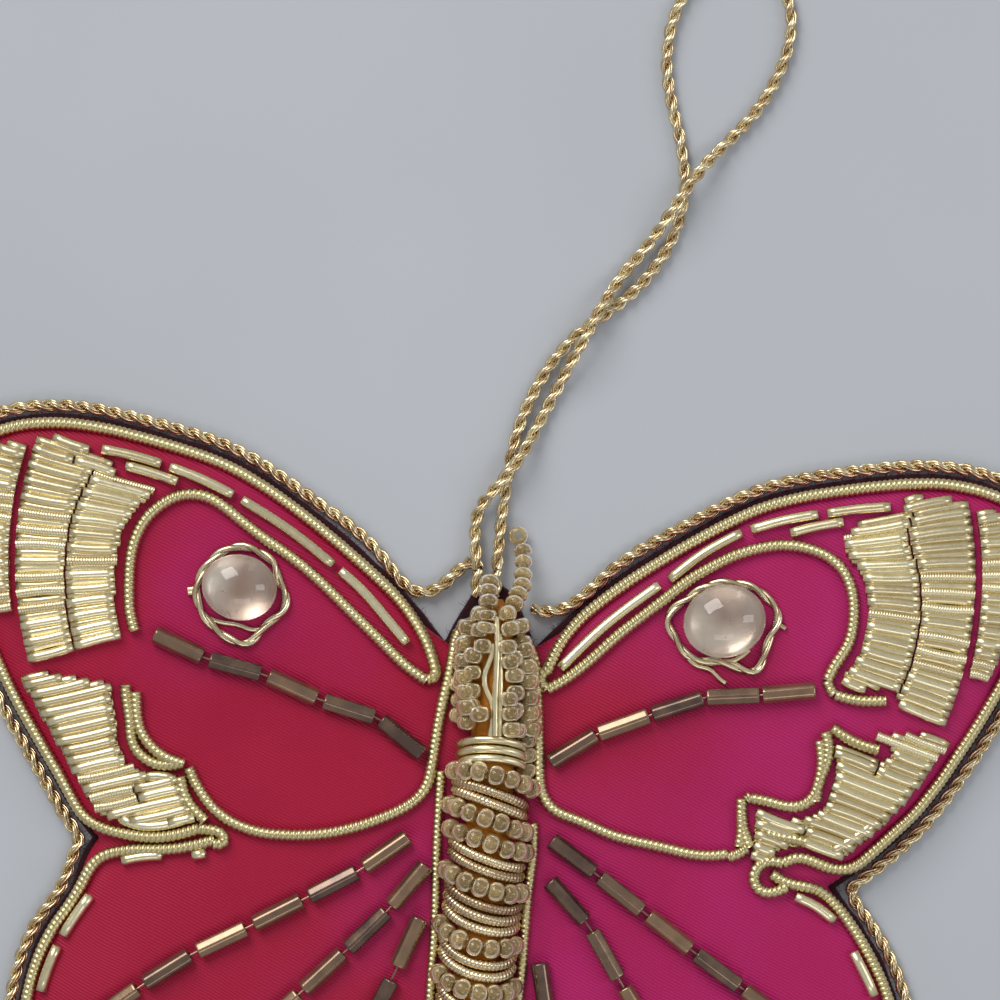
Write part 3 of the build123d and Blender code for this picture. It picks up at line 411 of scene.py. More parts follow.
# Raises heights to the padding of the body where that is higher
def overBody(at, height):
    middle, radius = bodyStation(at[:, 1])
    inside = (np.abs(at[:, 0] - middle) < radius) & (at[:, 1] < body["top"])
    inside &= at[:, 1] > body["top"] - body["length"]
    dome = body["level"] + np.sqrt(np.maximum(radius**2 - (at[:, 0] - middle) ** 2, 0))
    return np.where(inside, np.maximum(height, dome), height)


# Places tried round the foot of a round piece, as shares of its radius, and how far it presses in
seat = {"places": 8, "outShare": 0.8, "upShare": 0.6, "press": 0.05}


# The line at the height where a round piece lies on the work
def seated(line, radius, sink=0.0):
    line = np.asarray(line, float)[:, :2]
    best = overBody(line, satinHeight(line)) + radius
    for k in range(seat["places"]):
        turn = 2 * math.pi * k / seat["places"]
        spot = line + radius * seat["outShare"] * np.array([math.cos(turn), math.sin(turn)])
        best = np.maximum(best, overBody(spot, padHeight(spot) - seat["press"]) + radius * seat["upShare"])
    return np.column_stack([line, best - sink])


# Collects points and faces, then makes one mesh of them
class Batch:
    def __init__(self):
        self.points, self.faces, self.flat, self.tones, self.count = [], [], [], [], 0

    def add(self, points, faces, tone=0.5, flat=False):
        points = np.asarray(points, float)
        self.points.append(points)
        self.tones.append(np.full(len(points), tone))
        self.faces.extend(tuple(int(i) + self.count for i in face) for face in faces)
        self.flat.extend([flat] * len(faces))
        self.count += len(points)

    def build(self, name, material, rides, replaces=()):
        mesh = bpy.data.meshes.new(name)
        mesh.from_pydata((np.concatenate(self.points) * metre).tolist(), [], self.faces)
        mesh.polygons.foreach_set("use_smooth", [not flat for flat in self.flat])
        tone = mesh.attributes.new("tone", "FLOAT", "POINT")
        tone.data.foreach_set("value", np.concatenate(self.tones))
        mesh.materials.append(material)
        mesh.validate()
        piece = bpy.data.objects.new(name, mesh)
        bpy.context.scene.collection.objects.link(piece)
        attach(piece, rides)
        if replaces:
            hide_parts(*replaces)
        return piece


# Two directions square to a direction and to each other
def squareTo(direction):
    first = np.cross(direction, [0, 0, 1.0])
    if np.linalg.norm(first) < tiny:
        first = np.array([1.0, 0, 0])
    first = first / np.linalg.norm(first)
    return first, np.cross(direction, first)


# Two directions square to a path at each place, turned as little as possible
def frames(path):
    tangent = np.gradient(path, axis=0)
    tangent /= np.linalg.norm(tangent, axis=1)[:, None]
    normals = [squareTo(tangent[0])[0]]
    for t in tangent[1:]:
        n = normals[-1] - t * (normals[-1] @ t)
        normals.append(n / np.linalg.norm(n))
    normal = np.array(normals)
    return normal, np.cross(tangent, normal)


def turnsOf(sides):
    return 2 * np.pi * np.arange(sides) / sides


# Faces between rings of points that follow each other, and back to the first ring if closed
def tubeFaces(rings, sides, closed=False):
    faces = []
    for i in range(rings - 1):
        for k in range(sides):
            a, b = i * sides + k, i * sides + (k + 1) % sides
            faces.append((a, b, b + sides, a + sides))
    if closed:
        last = (rings - 1) * sides
        faces += [(last + k, last + (k + 1) % sides, (k + 1) % sides, k) for k in range(sides)]
    return faces


# Triangles from a ring to one point, turned over where it lies before the ring
def fanFaces(start, sides, point, before=False):
    pairs = [(start + k, start + (k + 1) % sides) for k in range(sides)]
    return [(b, a, point) if before else (a, b, point) for a, b in pairs]


# Rings round a path; the radius has a row for each place
def ringPoints(path, normal, cross, radius, sides):
    turn = turnsOf(sides)
    ring = normal[:, None] * np.cos(turn)[None, :, None] + cross[:, None] * np.sin(turn)[None, :, None]
    return (path[:, None] + ring * radius[:, :, None]).reshape(-1, 3)


def addCapped(batch, points, sides, tone):
    batch.add(points, tubeFaces(len(points) // sides, sides), tone)
    for start, order in ((0, -1), (len(points) - sides, 1)):
        batch.add(points[start : start + sides], [tuple(range(sides))[::order]], tone, flat=True)


def addTube(batch, path, radius, sides, tone=0.5):
    path = np.asarray(path, float)
    radius = np.broadcast_to(np.asarray(radius, float), (len(path),))[:, None]
    addCapped(batch, ringPoints(path, *frames(path), radius, sides), sides, tone)


# Tube with a bore: both walls and the rims between them
def addHollow(batch, path, outer, inner, sides, tone):
    path = np.asarray(path, float)
    there = np.concatenate([path, path[::-1]])
    normal, cross = (np.concatenate([square, square[::-1]]) for square in frames(path))
    radius = np.concatenate([np.full(len(path), outer), np.full(len(path), inner)])[:, None]
    points = ringPoints(there, normal, cross, radius, sides)
    batch.add(points, tubeFaces(len(there), sides, closed=True), tone)


# Line that winds round a path
def helix(path, radius, pitch, phase, perTurn):
    fine = evenly(path, abs(pitch) / perTurn)
    normal, cross = frames(fine)
    turn = (2 * np.pi * wayTo(fine) / pitch + phase)[:, None]
    return fine + radius * (normal * np.cos(turn) + cross * np.sin(turn))


# Tightly wound coil: a round skin with the slanted ridges of its turns
def addPurl(batch, path, diameter, pitch, groove, tone, sides=16, perTurn=8):
    fine = evenly(path, pitch / perTurn)
    normal, cross = frames(fine)
    slant = wayTo(fine)[:, None] / pitch + turnsOf(sides)[None, :] / (2 * np.pi)
    ridge = np.abs(np.sin(np.pi * slant)) ** coil["ridgePower"]
    radius = diameter / 2 - groove * (1 - ridge)
    addCapped(batch, ringPoints(fine, normal, cross, radius, sides), sides, tone)


# Twisted cord: strands wound round the path, each of plies wound the other way
rope = {
    "strands": 2, "plies": 5, "strandShare": 0.52, "plyShare": 0.40, "plyPitch": -9.0, "plySides": 6,
    "strandFineness": 3, "plyFineness": 2, "toneFrom": 0.1, "toneSpread": 0.8, "toneStep": 0.37,
}


def addRope(batch, path, cord, phase=0.0, perTurn=14):
    radius = cord["diameter"] / 2
    strand = radius * rope["strandShare"]
    ply = strand * rope["plyShare"]
    for k in range(rope["strands"]):
        around = phase + 2 * math.pi * k / rope["strands"]
        line = helix(path, radius - strand, cord["pitch"], around, perTurn * rope["strandFineness"])
        for j in range(rope["plies"]):
            turn = 2 * math.pi * j / rope["plies"] + k
            fine = helix(line, strand - ply, rope["plyPitch"], turn, perTurn * rope["plyFineness"])
            tone = rope["toneFrom"] + rope["toneSpread"] * ((k * rope["plies"] + j) * rope["toneStep"] % 1)
            addTube(batch, fine, ply, rope["plySides"], tone)


# Closed profile of (along, out) places turned round a direction
def addLathe(batch, centre, direction, profile, sides, tone, twist=0.0, facets=0, facetShare=0.0):
    direction = np.asarray(direction, float)
    direction = direction / np.linalg.norm(direction)
    first, second = squareTo(direction)
    turn = turnsOf(sides) + twist
    around = np.cos(turn)[:, None] * first + np.sin(turn)[:, None] * second
    around *= (1 + facetShare * np.cos(facets * (turn - twist)))[:, None]
    rings = [np.asarray(centre) + direction * along + out * around for along, out in profile]
    batch.add(np.concatenate(rings), tubeFaces(len(profile), sides, closed=True), tone)


def toneOf(number):
    return (number * goldenShare) % 1


# Shader helpers: a value may be a number, a colour or another node's output
def link(tree, start, end):
    tree.links.new(start, end)


def fill(tree, socket, value):
    if isinstance(value, (int, float)):
        socket.default_value = value
    elif isinstance(value, tuple):
        socket.default_value = (*value, 1.0)
    else:
        link(tree, value, socket)


def makeGroup(name, inputs, outputs):
    group = bpy.data.node_groups.new(name, "ShaderNodeTree")
    for label, kind, value in inputs:
        socket = group.interface.new_socket(label, in_out="INPUT", socket_type=kind)
        if value is not None:
            socket.default_value = value
    for label, kind in outputs:
        group.interface.new_socket(label, in_out="OUTPUT", socket_type=kind)
    return group, group.nodes.new("NodeGroupInput"), group.nodes.new("NodeGroupOutput")


def ownPlace(tree):
    return tree.nodes.new("ShaderNodeTexCoord").outputs["Object"]


def mathNode(tree, operation, *values):
    node = tree.nodes.new("ShaderNodeMath")
    node.operation = operation
    for socket, value in zip(node.inputs, values):
        fill(tree, socket, value)
    return node.outputs[0]


def scaled(tree, value, factor, offset):
    return mathNode(tree, "MULTIPLY_ADD", value, factor, offset)


def noiseNode(tree, vector, scale, detail=2.0, distortion=0.0):
    node = tree.nodes.new("ShaderNodeTexNoise")
    fill(tree, node.inputs["Scale"], scale)
    node.inputs["Detail"].default_value = detail
    node.inputs["Distortion"].default_value = distortion
    link(tree, vector, node.inputs["Vector"])
    return node.outputs["Fac"]


def ramp(tree, value, low, high):
    node = tree.nodes.new("ShaderNodeMapRange")
    node.inputs["From Min"].default_value = low
    node.inputs["From Max"].default_value = high
    link(tree, value, node.inputs["Value"])
    return node.outputs["Result"]


def mixColour(tree, share, first, second):
    node = tree.nodes.new("ShaderNodeMix")
    node.data_type = "RGBA"
    for socket, value in ((node.inputs[0], share), (node.inputs[6], first), (node.inputs[7], second)):
        fill(tree, socket, value)
    return node.outputs[2]


# Two colours mixed by each piece's own tone and by slow and fine spots
def varyGroup():
    group, start, end = makeGroup(
        "variedColour",
        [
            ("Light", "NodeSocketColor", None), ("Dark", "NodeSocketColor", None),
            ("Spots", "NodeSocketFloat", 0.5), ("Scale", "NodeSocketFloat", 900.0),
        ],
        [("Color", "NodeSocketColor"), ("Mask", "NodeSocketFloat")],
    )
    tone = group.nodes.new("ShaderNodeAttribute")
    tone.attribute_name = "tone"
    spots = noiseNode(group, ownPlace(group), start.outputs["Scale"])
    spread = mathNode(group, "SUBTRACT", spots, 0.5)
    spread = mathNode(group, "MULTIPLY", spread, start.outputs["Spots"])
    share = mathNode(group, "ADD", tone.outputs["Fac"], spread)
    share = mathNode(group, "MINIMUM", mathNode(group, "MAXIMUM", share, 0.0), 1.0)
    link(group, mixColour(group, share, start.outputs["Light"], start.outputs["Dark"]), end.inputs["Color"])
    link(group, share, end.inputs["Mask"])
    return group


# Satin's weave: fine ribs that wander a little, broken by short floats across them
weave = {
    "wanderScale": 90.0, "wander": 1.1, "across": 910.0, "along": (910.0, -420.0), "float": 0.21,
    "floatSkew": 5.2, "floatHeight": 0.22,
}


def weaveGroup():
    group, start, end = makeGroup(
        "weave",
        [("Rib", "NodeSocketFloat", 0.34), ("Slant", "NodeSocketFloat", 0.12)],
        [("Height", "NodeSocketFloat"), ("Float", "NodeSocketFloat")],
    )
    where = ownPlace(group)
    apart = group.nodes.new("ShaderNodeSeparateXYZ")
    link(group, where, apart.inputs[0])
    wander = noiseNode(group, where, weave["wanderScale"])
    across = mathNode(group, "MULTIPLY", apart.outputs["X"], 1 / metre)
    across = mathNode(group, "MULTIPLY", across, start.outputs["Slant"])
    across = scaled(group, apart.outputs["Y"], weave["across"], across)
    across = scaled(group, wander, weave["wander"], across)
    ribs = mathNode(group, "DIVIDE", across, start.outputs["Rib"])
    ribs = mathNode(group, "SINE", mathNode(group, "MULTIPLY", ribs, 2 * math.pi))
    along = mathNode(group, "MULTIPLY", apart.outputs["X"], weave["along"][0])
    along = scaled(group, apart.outputs["Y"], weave["along"][1], along)
    floats = mathNode(group, "MULTIPLY", along, 2 * math.pi / weave["float"])
    floats = mathNode(group, "SINE", scaled(group, across, weave["floatSkew"], floats))
    link(group, scaled(group, floats, weave["floatHeight"], ribs), end.inputs["Height"])
    link(group, ramp(group, ribs, -1.0, 1.0), end.inputs["Float"])
    return group


# Height and mask of a matted pile of short fibres
matting = {"detail": 4.0, "distortion": 1.5, "patchScale": 260.0, "patchFrom": 0.35, "patchTo": 0.7}


def fibreGroup():
    group, start, end = makeGroup(
        "fibre",
        [("Scale", "NodeSocketFloat", 2200.0)],
        [("Height", "NodeSocketFloat"), ("Mask", "NodeSocketFloat")],
    )
    where = ownPlace(group)
    height = noiseNode(group, where, start.outputs["Scale"], matting["detail"], matting["distortion"])
    patches = noiseNode(group, where, matting["patchScale"])
    link(group, height, end.inputs["Height"])
    link(group, ramp(group, patches, matting["patchFrom"], matting["patchTo"]), end.inputs["Mask"])
    return group


groups = {"vary": varyGroup(), "weave": weaveGroup(), "fibre": fibreGroup()}
wearDetail = 3.0  # how fine the noise of wear is


def useGroup(tree, name, **values):
    node = tree.nodes.new("ShaderNodeGroup")
    node.node_tree = groups[name]
    for label, value in values.items():
        fill(tree, node.inputs[label], value)
    return node


# A material and its shader; underscores in the names stand for the spaces in socket names
def newMaterial(name, **values):
    material = bpy.data.materials.new(name)
    material.use_nodes = True
    tree = material.node_tree
    shader = tree.nodes["Principled BSDF"]
    for label, value in values.items():
        fill(tree, shader.inputs[label.replace("_", " ")], value)
    return material, tree, shader


# The colour that varies over a piece goes to its shader
def varied(tree, shader, **values):
    link(tree, useGroup(tree, "vary", **values).outputs["Color"], shader.inputs["Base Color"])


def bumped(tree, shader, height, strength, distance):
    node = tree.nodes.new("ShaderNodeBump")
    node.inputs["Strength"].default_value = strength
    node.inputs["Distance"].default_value = distance * metre
    link(tree, height, node.inputs["Height"])
    link(tree, node.outputs["Normal"], shader.inputs["Normal"])


# Metals; dull is the spread of their roughness, bump the strength of their fine grain
metal = {"dullScale": 1400.0, "dull": 0.25, "dullFrom": 0.1, "grainScale": 2600.0, "grain": 0.03}


def metalMaterial(name, light, dark, roughness, spots=0.6, scale=900.0, metallic=1.0, bump=0.25):
    material, tree, shader = newMaterial(name, Metallic=metallic)
    varied(tree, shader, Light=light, Dark=dark, Spots=spots, Scale=scale)
    where = ownPlace(tree)
    dull = noiseNode(tree, where, metal["dullScale"], wearDetail)
    rough = scaled(tree, dull, metal["dull"], roughness - metal["dullFrom"])
    link(tree, rough, shader.inputs["Roughness"])
    bumped(tree, shader, noiseNode(tree, where, metal["grainScale"]), bump, metal["grain"])
    return material


# Clear glass of pebbles and seed beads
glass = {"coat": 0.3, "spotScale": 320.0, "wearScale": 700.0, "wear": 0.08, "bump": 0.15, "grain": 0.02}


def glassMaterial(name, light, dark, transmission, roughness, ior=1.5, spots=0.5):
    material, tree, shader = newMaterial(
        name, IOR=ior, Transmission_Weight=transmission, Coat_Weight=glass["coat"]
    )
    varied(tree, shader, Light=light, Dark=dark, Spots=spots, Scale=glass["spotScale"])
    wear = noiseNode(tree, ownPlace(tree), glass["wearScale"], wearDetail)
    link(tree, scaled(tree, wear, glass["wear"], roughness), shader.inputs["Roughness"])
    bumped(tree, shader, wear, glass["bump"], glass["grain"])
    return material


# Satin: crimson that turns magenta to the right as painted sheen, with slow patches of painted shade and ribs
# painted darker
satinLook = {
    "turn": 3.4, "turnScale": 26.0, "turnDetail": 1.5, "turnFrom": 0.40, "turnTo": 0.63,
    # crimson is the satin's own colour; the magenta towards the right is painted sheen
    "crimson": (0.405, 0.0075, 0.04), "sheenMagenta": (0.50, 0.0165, 0.17),
    # shade: slow patches of painted shade over the satin
    "shadeScale": 60.0, "shadeFrom": 0.3, "shadeTo": 0.72, "shade": 0.5, "paintedShadeColour": (0.36, 0.005, 0.036),
    # rib shade: the ribs painted darker in stripes, painted shade of the weave
    "rib": 0.375, "slant": 0.42, "ribShade": 0.42, "ribShadeColour": (0.24, 0.002, 0.022), "ribHeight": 0.035,
    "ribBump": 0.6, "roughScale": 90.0, "roughSpread": 0.16, "roughFrom": 0.38,
}


def satinMaterial():
    look = satinLook
    material, tree, shader = newMaterial(
        "satin", Sheen_Weight=0.12, Sheen_Roughness=0.4, Sheen_Tint=(1.0, 0.35, 0.5),
        Specular_IOR_Level=0.42, Specular_Tint=(1.0, 0.5, 0.62), Anisotropic=0.4,
    )
    where = ownPlace(tree)
    apart = tree.nodes.new("ShaderNodeSeparateXYZ")
    link(tree, where, apart.inputs[0])
    # painted sheen: the colour turns from crimson to magenta towards the right, with slow unevenness,
    # standing in for the satin's sheen
    uneven = noiseNode(tree, where, look["turnScale"], look["turnDetail"])
    turned = scaled(tree, apart.outputs["X"], look["turn"], uneven)
    paintedSheenShare = ramp(tree, turned, look["turnFrom"], look["turnTo"])
    # painted shade: slow patches darkened towards a deeper crimson
    shade = ramp(tree, noiseNode(tree, where, look["shadeScale"]), look["shadeFrom"], look["shadeTo"])
    colour = mixColour(tree, paintedSheenShare, look["crimson"], look["sheenMagenta"])
    colour = mixColour(tree, mathNode(tree, "MULTIPLY", shade, look["shade"]), colour, look["paintedShadeColour"])
    ribs = useGroup(tree, "weave", Rib=look["rib"], Slant=look["slant"])
    # painted shade: the ribs are painted darker in stripes along the weave
    ribShade = mathNode(tree, "MULTIPLY", ribs.outputs["Float"], look["ribShade"])
    link(tree, mixColour(tree, ribShade, colour, look["ribShadeColour"]), shader.inputs["Base Color"])
    rough = scaled(tree, noiseNode(tree, where, look["roughScale"]), look["roughSpread"], look["roughFrom"])
    link(tree, rough, shader.inputs["Roughness"])
    bumped(tree, shader, ribs.outputs["Height"], look["ribBump"], look["ribHeight"])
    return material


# Velvet, felt and card: light and dark mixed by their fibres' height, the dips between fibres darker as
# painted shade, and by slow patches
pile = {
    "roughness": 0.95, "specular": 0.15, "heightShare": 0.7, "patchShare": 0.3, "leastShare": 0.1,
    "bump": 0.8,
}


def pileMaterial(name, light, dark, height, sheen, sheenTint, scale=2200.0):
    material, tree, shader = newMaterial(
        name, Roughness=pile["roughness"], Sheen_Weight=sheen, Sheen_Roughness=0.5, Sheen_Tint=sheenTint,
        Specular_IOR_Level=pile["specular"],
    )
    fibre = useGroup(tree, "fibre", Scale=scale)
    # painted shade: higher fibres lighter, the dips between them darker
    share = scaled(tree, fibre.outputs["Height"], pile["heightShare"], pile["leastShare"])
    share = scaled(tree, fibre.outputs["Mask"], pile["patchShare"], share)
    link(tree, mixColour(tree, share, dark, light), shader.inputs["Base Color"])
    bumped(tree, shader, fibre.outputs["Height"], pile["bump"], height)
    return material


# Smoky metal-lined glass of the bugles
smoky = {
    "light": (0.34, 0.21, 0.12), "dark": (0.11, 0.066, 0.05), "spots": 1.2, "spotScale": 420.0,
    "wearScale": 700.0, "wear": 0.2, "leastRoughness": 0.12, "dentScale": 380.0, "bump": 0.3, "dent": 0.08,
}


def bugleMaterial():
    material, tree, shader = newMaterial("bugle", Metallic=0.75, Coat_Weight=0.6, Coat_Roughness=0.04)
    varied(
        tree, shader, Light=smoky["light"], Dark=smoky["dark"], Spots=smoky["spots"], Scale=smoky["spotScale"]
    )
    where = ownPlace(tree)
    wear = noiseNode(tree, where, smoky["wearScale"], wearDetail)
    link(tree, scaled(tree, wear, smoky["wear"], smoky["leastRoughness"]), shader.inputs["Roughness"])
    bumped(tree, shader, noiseNode(tree, where, smoky["dentScale"]), smoky["bump"], smoky["dent"])
    return material


# Metals: light, dark, roughness, spots, their scale, metallic, bump
# Glass: light, dark, transmission, roughness, refraction, spots
# Pile: light, dark, height, sheen, its tint, scale
materials = {
    "satin": satinMaterial(),
    "velvet": pileMaterial("velvet", (0.05, 0.014, 0.02), (0.008, 0.003, 0.004), 0.25, 0.5, (0.6, 0.3, 0.35)),
    # the felt's dark colour is deeper than the felt's own orange, painted shade of the beads lying over it
    "felt": pileMaterial("felt", (0.68, 0.26, 0.03), (0.36, 0.11, 0.012), 0.2, 0.2, (1.0, 0.7, 0.4), 1500.0),
    "card": pileMaterial("card", (0.46, 0.38, 0.27), (0.36, 0.29, 0.2), 0.03, 0.0, (1.0, 1.0, 1.0), 1200.0),
    "coil": metalMaterial("coil", (0.68, 0.59, 0.32), (0.48, 0.39, 0.19), 0.32, 0.5, 500.0, 1.0, 0.1),
    "tube": metalMaterial("tube", (0.88, 0.79, 0.52), (0.70, 0.59, 0.36), 0.28, 0.4, 500.0, 1.0, 0.15),
    "band": metalMaterial("band", (0.86, 0.76, 0.50), (0.58, 0.46, 0.28), 0.22, 0.7, 500.0, 1.0, 0.15),
    "bronze": metalMaterial("bronze", (0.80, 0.66, 0.42), (0.42, 0.29, 0.18), 0.22, 0.9, 420.0, 1.0, 0.15),
    "cord": metalMaterial("cord", (0.90, 0.80, 0.52), (0.55, 0.38, 0.20), 0.2, 1.1, 420.0, 0.95),
    "foil": metalMaterial("foil", (0.96, 0.88, 0.74), (0.40, 0.26, 0.20), 0.3, 2.2, 170.0, 0.7, 0.4),
    "bugle": bugleMaterial(),
    "seed": glassMaterial("seed", (0.80, 0.64, 0.31), (0.52, 0.38, 0.16), 0.76, 0.03, 1.4),
    "pebble": glassMaterial("pebble", (0.98, 0.95, 0.92), (0.95, 0.90, 0.87), 1.0, 0.0, 1.5, 0.3),
}


# Gives a carried-over node one of the materials above
def dress(node, name):
    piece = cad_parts[node]
    piece.data.materials.clear()
    piece.data.materials.append(materials[name])


# Makes a batch one piece on the ornament's body, in place of its solids if it has any
def ornamentPiece(batch, name, material, slot, *nodes):
    piece = batch.build(name, materials[material], "ornament", nodes)
    return piece


# Camera straight above, where the photo was taken
photo = {
    "scale": 8.0, "pixels": 1000, "centre": (-0.02, 32.6), "roll": 4.0, "distance": 560.0, "plane": 4.0,
    "sensor": 36.0, "clip": (0.01, 10.0),
}
scene = bpy.context.scene
camera = bpy.data.objects.new("camera", bpy.data.cameras.new("camera"))
scene.collection.objects.link(camera)
scene.camera = camera
camera.location = Vector((*photo["centre"], photo["distance"] + photo["plane"])) * metre
camera.rotation_euler = (0, 0, math.radians(photo["roll"]))
camera.data.sensor_width = photo["sensor"]
camera.data.lens = photo["sensor"] * photo["distance"] / (photo["pixels"] / photo["scale"])
camera.data.clip_start, camera.data.clip_end = photo["clip"]


# Hanging loop, and the two ends that are sewn down behind the head
loopCord = {"diameter": 1.66, "pitch": 4.4, "step": 0.6, "tailTurn": 1.0, "tailLap": 0.3}
loopRoute = [
    (-2.2, 23.9, 1.85), (-3.0, 27.6, 1.3), (-2.7, 31.4, 0.85), (-0.6, 34.2, 3.0), (2.1, 37.7, 3.0),
    (4.0, 42.0, 0.85), (6.3, 47.5, 0.85), (8.7, 52.6, 3.0), (10.9, 57.4, 3.0), (13.3, 61.9, 0.85),
    (16.3, 65.8, 0.85), (18.9, 70.1, 3.0), (21.6, 74.9, 3.0), (25.0, 79.0, 0.85), (28.6, 83.2, 0.8),
    (31.4, 88.4, 0.8), (32.6, 93.6, 0.8), (31.9, 98.3, 0.8), (29.0, 101.7, 0.8), (24.6, 102.9, 0.8),
    (20.6, 100.9, 0.8), (17.8, 96.2, 0.8), (16.8, 90.3, 0.8), (17.7, 84.7, 0.8), (19.5, 79.4, 0.8),
    (20.5, 74.4, 0.8), (20.3, 69.7, 0.8), (18.7, 65.1, 0.8), (15.7, 60.6, 0.8), (12.1, 57.2, 0.8),
    (8.3, 54.3, 0.8), (5.2, 50.3, 0.8), (3.1, 46.2, 0.8), (1.6, 41.9, 0.8), (0.9, 37.6, 0.8),
    (0.6, 33.4, 0.8), (0.25, 28.6, 1.2), (0.2, 23.9, 1.85),
]


# Points of the smooth spline that has the route's points as control points
def cordLine(route):
    curve = bpy.data.curves.new("route", "CURVE")
    curve.dimensions = "3D"
    spline = curve.splines.new("NURBS")
    spline.points.add(len(route) - 1)
    for point, where in zip(spline.points, route):
        point.co = (*(metre * c for c in where), 1.0)
    spline.order_u = 3
    spline.use_endpoint_u = True
    spline.resolution_u = 24
    holder = bpy.data.objects.new("route", curve)
    scene.collection.objects.link(holder)
    mesh = bpy.data.meshes.new_from_object(holder)
    points = np.array([v.co[:] for v in mesh.vertices]) / metre
    bpy.data.objects.remove(holder)
    bpy.data.curves.remove(curve)
    bpy.data.meshes.remove(mesh)
    fromFirst, fromLast = (np.linalg.norm(points[0] - np.array(route[k])) for k in (0, -1))
    return points if fromFirst < fromLast else points[::-1]


def hangingLoop():
    line = evenly(cordLine(loopRoute), loopCord["step"])
    batch = Batch()
    addRope(batch, line, loopCord)
    piece = batch.build("hanging_loop_cord", materials["cord"], "loop", ["hanging_loop"])
    print("hanging loop", round(runLength(line), 1), len(batch.faces))


def cordTails():
    batch = Batch()
    for end in (0, -1):
        x, y, z = loopRoute[end]
        start = body["top"] + seed["gap"]
        route = [(x, start, z), (x, (start + y) / 2, z), (x, y - loopCord["tailLap"], z)]
        addRope(batch, route, loopCord, loopCord["tailTurn"])
    ornamentPiece(batch, "cord_tail_rope", "cord", "gold_cord", "cord_tails")


hangingLoop()
cordTails()

# Right half of the tongue behind the head, from its tip to the wing
tongueHalf = [(0.8, 21.9), (1.9, 21.5), (2.7, 20.6), (3.5, 19.1), (4.6, 16.9), (5.7, 14.4)]
tongueWaste = 6  # an inset of this much would narrow the tongue to nothing
# Inset and height of the rings up the backing's edge
backingLevels = [(0.3, 0.0), (0.0, 0.22), (0.0, 0.75), (0.12, 0.93), (0.4, backing["thickness"])]


def backingRing(inset):
    runs = insetRuns(inset - backing["margin"])
    lines = [smoothLine(run, backing["ringStep"]) for run in (runs[0][1:], runs[1], runs[2], runs[3][:-1])]
    counts = [backing[which] for which in ("upperPlaces", "lowerPlaces", "lowerPlaces", "upperPlaces")]
    lines = [resampled(line, count) for line, count in zip(lines, counts)]
    tongue = [(-x, y) for x, y in tongueHalf[::-1]] + tongueHalf
    tongue = [(x * (1 - inset / tongueWaste), y - inset) for x, y in tongue]
    tail = resampled([lines[1][-1], lines[2][0]], backing["tailPlaces"])
    return np.concatenate([lines[0], lines[1][1:], tail[1:-1], lines[2], lines[3][1:], tongue])


# Short fibres that stand out of the cut edge
def velvetFibres(batch, edge):
    chance = np.random.default_rng(backing["chance"])
    count = len(edge)
    along = np.roll(edge, -1, axis=0) - np.roll(edge, 1, axis=0)
    for k in chance.integers(0, count, backing["fibres"]):
        out = np.array([-along[k][1], along[k][0], 0.0])
        out = out / (np.linalg.norm(out) + tiny)
        root = edge[k] + (edge[(k + 1) % count] - edge[k]) * chance.uniform() - out * backing["fibreRoot"]
        root[2] = chance.uniform(*backing["fibreLevels"])
        tip = out * chance.uniform(*backing["fibreReach"]) + chance.normal(0, backing["fibreScatter"], 3)
        tip = tip + np.array([0, 0, backing["fibreRise"]])
        tip *= backing["fibreLength"] * chance.uniform(backing["fibreLeast"], 1.0)
        bend = root + tip / 2 + chance.normal(0, backing["fibreBend"], 3)
        spots = np.array([root, bend, root + tip])
        spots[:, 2] = np.maximum(spots[:, 2], backing["fibreFoot"])
        radii = [backing["fibreWidth"], backing["fibreWidth"], backing["fibreTip"]]
        addTube(batch, spots, radii, backing["fibreSides"])


def velvetBack():
    rings = []
    for inset, z in backingLevels:
        ring = backingRing(inset)
        rings.append(np.column_stack([ring, np.full(len(ring), z)]))
    count = len(rings[0])
    uneven = noiseOver(rings[0][:, :2], backing["wobbleScale"], backing["wobbleLevel"])
    wobble = uneven[:, None] * backing["wobble"]
    for k in (1, 2, 3):
        rings[k][:, :2] += wobble * np.array(backing["wobbleShares"])
    batch = Batch()
    batch.add(np.concatenate(rings), [face[::-1] for face in tubeFaces(len(rings), count)])
    for ring, up in ((rings[-1], True), (rings[0], False)):
        plan, faces = filled(ring[:, :2], count)
        points = np.column_stack([plan, np.full(len(plan), ring[0][2])])
        batch.add(points, faces if up else [face[::-1] for face in faces])
    velvetFibres(batch, rings[2])
    ornamentPiece(batch, "velvet_back", "velvet", "velvet", "back_panel")
    print("velvet", len(batch.faces))


# Insets of the satin's rings, close together at its turned edge
rimInsets = (-0.04, 0.0, 0.1, 0.3, 0.6, 1.0, 1.6)


# Satin drawn over the padding: dense rings at its turned edge, an even grid inside
def satinFront():
    rings = [closedRing(insetRuns(satin["rimInset"] + inset), satin["ringStep"]) for inset in rimInsets]
    step = satin["gridStep"]
    half = wings["halfSpan"]
    rows = np.arange(-wings["lowerHeight"], wings["upperHeight"] + step, step * satin["gridRowShare"])
    grid = []
    for k, y in enumerate(rows):
        xs = np.arange(-half, half + step, step) + (step / 2 if k % 2 else 0)
        grid.append(np.column_stack([xs, np.full(len(xs), y)]))
    grid = np.concatenate(grid)
    grid = grid[edgeDepth(grid) > satin["gridInset"]]
    at, faces = filled(np.concatenate(rings + [grid]), len(rings[0]))
    height = satinHeight(at)
    height[: len(rings[0])] = backing["thickness"] + satin["footLift"]
    batch = Batch()
    batch.add(np.column_stack([at, height]), faces)
    piece = ornamentPiece(batch, "satin_front", "satin", "satin", "front_panel", "wadding")
    print("satin", len(batch.faces))


velvetBack()
satinFront()
dress("stiffener_card", "card")

